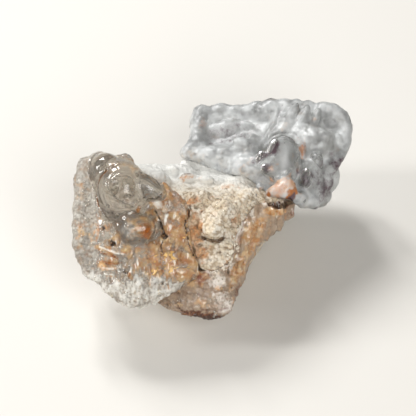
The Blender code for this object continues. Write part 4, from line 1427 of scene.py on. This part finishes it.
stainedGlass = {
    **hyalite,
    "cloud": 1.0,
    "streak": 0.6,
    "clear": "#E4CEB4",
    "hazy": "#B69C86",
    "frostDark": "#A49080",
    "frostPale": "#EEE8E0",
    "frostWarm": "#B8987C",
    "amberDeep": "#CC8C4C",
    "amberPale": "#FFE6B8",
    "milk": "#EAE2D8",
    # iron and dark also lay the painted shade along the foot's lower edge and under the lens
    "iron": "#7A4028",
    "dark": "#4A3428",
    "speckColour": "#7A5640",
    "hazeWear": 0.15,
    "hazeRelief": 0.4,
    "gloss": 0.08,
    "frosting": 0.4,
    "smoothBump": 0.2,
    "transmission": 0.65,
    "leastTransmission": 0.1,
    "frostFill": 0.6,
    "depthColour": "#E2B880",
    "depthDensity": 45.0,
}


# Host rock: altered volcanic rock, soft and porous, so it is matt and crumbly. Pale grains with darker
# gaps, rust where water has run, and bleached where it is worn.
rockLook = {
    "pale": "#E4D8BE",
    "deep": "#C2AA8E",
    "white": "#E6E0D4",
    "bleached": "#DAD9D4",
    "amberDeep": "#A86C40",
    "amberPale": "#D6A878",
    # dark of pores and pits, and also the painted shade under the boss, over the saddle's bead and under the
    # lens
    "poreAndShade": "#5C4734",
    "crevice": "#9A8468",
    "cloud": 1.0,
    "grain": 0.22,
    "cell": 0.34,  # size of the gaps between grains, in mm
    "relief": 0.14,
    "bump": 0.9,
    "roughness": 0.8,
}


def crumblyRock():
    look = rockLook
    material, tree = newMaterial("crumblyAlteredRock")
    cloudy = noiseOf(tree, look["cloud"], 5.0, 0.7)
    grainy = noiseOf(tree, look["grain"], 3.0, 0.7)
    spread = stretched(tree, grainy, 0.35, 0.65)
    patchy = stretched(tree, cloudy, 0.4, 0.65)
    place = addNode(tree, "ShaderNodeTexCoord").outputs["Object"]
    cells = addNode(tree, "ShaderNodeTexVoronoi", {"Scale": perMm(look["cell"])}, {"Vector": place})
    gaps = cells.outputs["Distance"]
    bleached = maskOf(tree, "milk")
    rust = blendColour(tree, spread, look["amberDeep"], look["amberPale"])
    colour = blendColour(tree, spread, look["deep"], look["pale"])
    colour = blendColour(tree, patchy, colour, look["white"])
    colour = blendColour(tree, bleached, colour, look["bleached"])
    colour = blendColour(tree, broken(tree, "amber", patchy, 0.6, 0.2, 0.85), colour, rust)
    colour = blendColour(tree, broken(tree, "frost", spread, 0.5, 0.3, 0.8), colour, look["white"])
    # the dark mask: pores and pits, and painted shade under the boss, over the saddle's bead and under the
    # lens
    colour = blendColour(tree, broken(tree, "dark", spread, 0.4, 0.2, 0.8), colour, look["poreAndShade"])
    unbleached = calculated(tree, "SUBTRACT", 1.0, bleached)
    pitted = calculated(tree, "MULTIPLY", stretched(tree, gaps, 0.5, 0.8, 0.0, 0.75), unbleached)
    colour = blendColour(tree, pitted, colour, look["crevice"])
    height = calculated(tree, "ADD", calculated(tree, "MULTIPLY", gaps, -0.7), grainy)
    settings = {"Strength": look["bump"], "Distance": look["relief"] * mm}
    relief = addNode(tree, "ShaderNodeBump", settings, {"Height": height})
    links = {"Base Color": colour, "Normal": relief.outputs[0]}
    surface = addNode(tree, "ShaderNodeBsdfPrincipled", {"Roughness": look["roughness"]}, links)
    addNode(tree, "ShaderNodeOutputMaterial", links={"Surface": surface.outputs[0]})
    return material


# Where two pieces meet: how far and how deep one grows into the other, and how their stains mingle
meeting = {
    "reach": 0.8,
    "sink": 0.06,
    "leastGap": 0.05,
    "rounds": 4,
    # mask, size of clouds, reach, sway by clouds, where it starts, where it is whole, strength
    "far": ("frost", 0.8, 3.0, 1.2, 2.2, 0.3, 1.0),
    "stained": ("milk", 0.6, 1.6, 2.2, 0.9, -0.6, 0.8),
    "rock": ("amber", 0.6, 2.0, 2.4, 0.9, -0.5, 0.55),
}


def mingle(skin, others, mask, cloudSize, reach, sway, start, whole, strength):
    cloud = pattern(skin, cloudSize, wave, 4.0)
    cover(skin, mask, ramp(gapTo(skin, others, reach) + sway * cloud, start, whole) * strength)


# Lines that run over more than one piece: path, width, depth, mask, strength
seams = {
    "crack": (
        ((-1.75, 0.3), (-2.05, -0.6), (-2.2, -1.7), (-2.0, -2.7), (-1.8, -3.6), (-1.5, -4.4), (-1.1, -5.2)),
        0.22, 0.45, "dark", 1.0,
    ),  # the near lobe has come away from the rock here
    # crescent and hollow darken the lens's lower side: painted shade, the crescent also rust-brown
    "crescent": (
        ((5.6, 1.3), (6.1, 0.8), (6.8, 0.5), (7.6, 0.5), (8.4, 1.0), (8.9, 1.8)),
        0.8, 0.2, "iron", 1.0,
    ),
    "hollow": (((6.0, 0.7), (6.6, 0.3), (7.3, 0.2), (8.1, 0.5), (8.7, 1.2)), 0.6, 0.15, "dark", 0.8),
}


near = makeNearLobe()
print("near lobe carved")
far = makeFarLobe()
print("far lobe carved")
stained = makeStained()
rock = makeRock()
print("rock and stained opal carved")
closeUp(stained, (near, far))
closeUp(rock, (near, far, stained))
refresh(stained)
refresh(rock)
mingle(far, (rock,), *meeting["far"])
mingle(stained, (rock,), *meeting["stained"])
mingle(rock, (near, stained), *meeting["rock"])
whole = (near, far, stained, rock)
drawAcross((near, rock), *seams["crack"])
drawAcross((far, stained, rock), *seams["crescent"])
drawAcross((far, stained, rock), *seams["hollow"])
for skin in whole:
    skin["points"][:, 2] = np.maximum(skin["points"][:, 2], 0)
    writeSkin(skin)
    piece = skin["piece"]
    selectOnly(piece)
    bpy.ops.object.shade_smooth()
    print(piece.name, len(piece.data.polygons) * 2, "triangles")

for skin, name, content, slotName in (
    (near, "nearGas", ("gasBubble", 1.0, 0.02), "near_hyalite"),
    (near, "nearWater", ("waterBubble", 1.36, 0.02), "near_hyalite"),
    (far, "farGas", ("frostedGasBubble", 1.0, 0.3), "far_hyalite"),
):
    piece = makeBubbles(skin, name)
    piece.data.materials.append(sealedIn(*content))
    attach(piece, "root")
for skin in whole:
    refresh(skin)
ironVeils = makeVeils(near)
opalGrains = scatter(whole, "opalGrains", grains["areas"], inArea)
seamCrust = scatter(whole, "seamCrust", grains["seams"], onSeam)
for piece, material, slotName in (
    (ironVeils, ironFilm(), "near_hyalite"),
    (opalGrains, opalGrain("sugaryOpal", *grains["clear"]), "near_hyalite"),
    (seamCrust, opalGrain("milkyOpalCrust", *grains["milky"]), "host_rock"),
):
    piece.data.materials.append(material)
    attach(piece, "root")
    print(piece.name, "made")

near["piece"].data.materials.append(glassyHyalite("clearHyalite", nearGlass))
far["piece"].data.materials.append(glassyHyalite("milkyHyalite", farGlass))
stained["piece"].data.materials.append(glassyHyalite("ironStainedOpal", stainedGlass))
rock["piece"].data.materials.append(crumblyRock())
for skin, node in zip(whole, ("near_hyalite", "far_hyalite", "stained_opal", "host_rock")):
    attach(skin["piece"], "root")
    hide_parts(node)


# Studio: a pale table, a softbox up behind the stone to the left, a strip at its left and a weak fill

studio = {
    "floorSize": 2.0,
    "floor": "#D6D3CD",
    "floorRoughness": 0.7,
    "aim": (0, 0, -5),
    "world": "#A4A29E",
    "worldStrength": 0.5,
    "lights": (
        # name, direction to it, distance, width, height, power in watts
        ("keyLeft", (-0.46, 0.54, 0.74), 0.32, 0.04, 0.11, 0.42),
        ("keyRight", (-0.24, 0.60, 0.74), 0.32, 0.04, 0.11, 0.42),
        ("sideStrip", (-0.90, -0.10, 0.45), 0.30, 0.05, 0.16, 0.55),
        ("frontFill", (0.25, -0.8, 0.6), 0.45, 0.25, 0.25, 1.45),
    ),
}


def makeStudio():
    bpy.ops.mesh.primitive_plane_add(size=studio["floorSize"], location=(0, 0, 0))
    floor = bpy.context.object
    floor.name = "floor"
    settings = {"Base Color": hexColour(studio["floor"]), "Roughness": studio["floorRoughness"]}
    floor.data.materials.append(plainMaterial("paleTable", settings))
    middle = spot(*studio["aim"])
    for name, towards, distance, width, height, power in studio["lights"]:
        lamp = bpy.data.lights.new(name, "AREA")
        lamp.shape = "RECTANGLE"
        lamp.size = width
        lamp.size_y = height
        lamp.energy = power
        holder = newObject(name, lamp)
        direction = Vector(towards).normalized()
        holder.location = middle + direction * distance
        holder.rotation_euler = direction.to_track_quat("Z", "Y").to_euler()
    world = bpy.data.worlds.new("studio")
    bpy.context.scene.world = world
    world.use_nodes = True
    back = world.node_tree.nodes["Background"]
    back.inputs["Color"].default_value = hexColour(studio["world"])
    back.inputs["Strength"].default_value = studio["worldStrength"]


def makeCamera():
    lensData = bpy.data.cameras.new("camera")
    lensData.lens = view["lens"]
    lensData.sensor_width = view["sensorWidth"]
    lensData.clip_start = 0.01
    camera = newObject("camera", lensData)
    camera.location = eye
    camera.rotation_euler = (math.radians(90) - lean, 0, 0)
    bpy.context.scene.camera = camera


makeStudio()
makeCamera()
bpy.context.scene.view_settings.view_transform = "Standard"
print("studio ready")
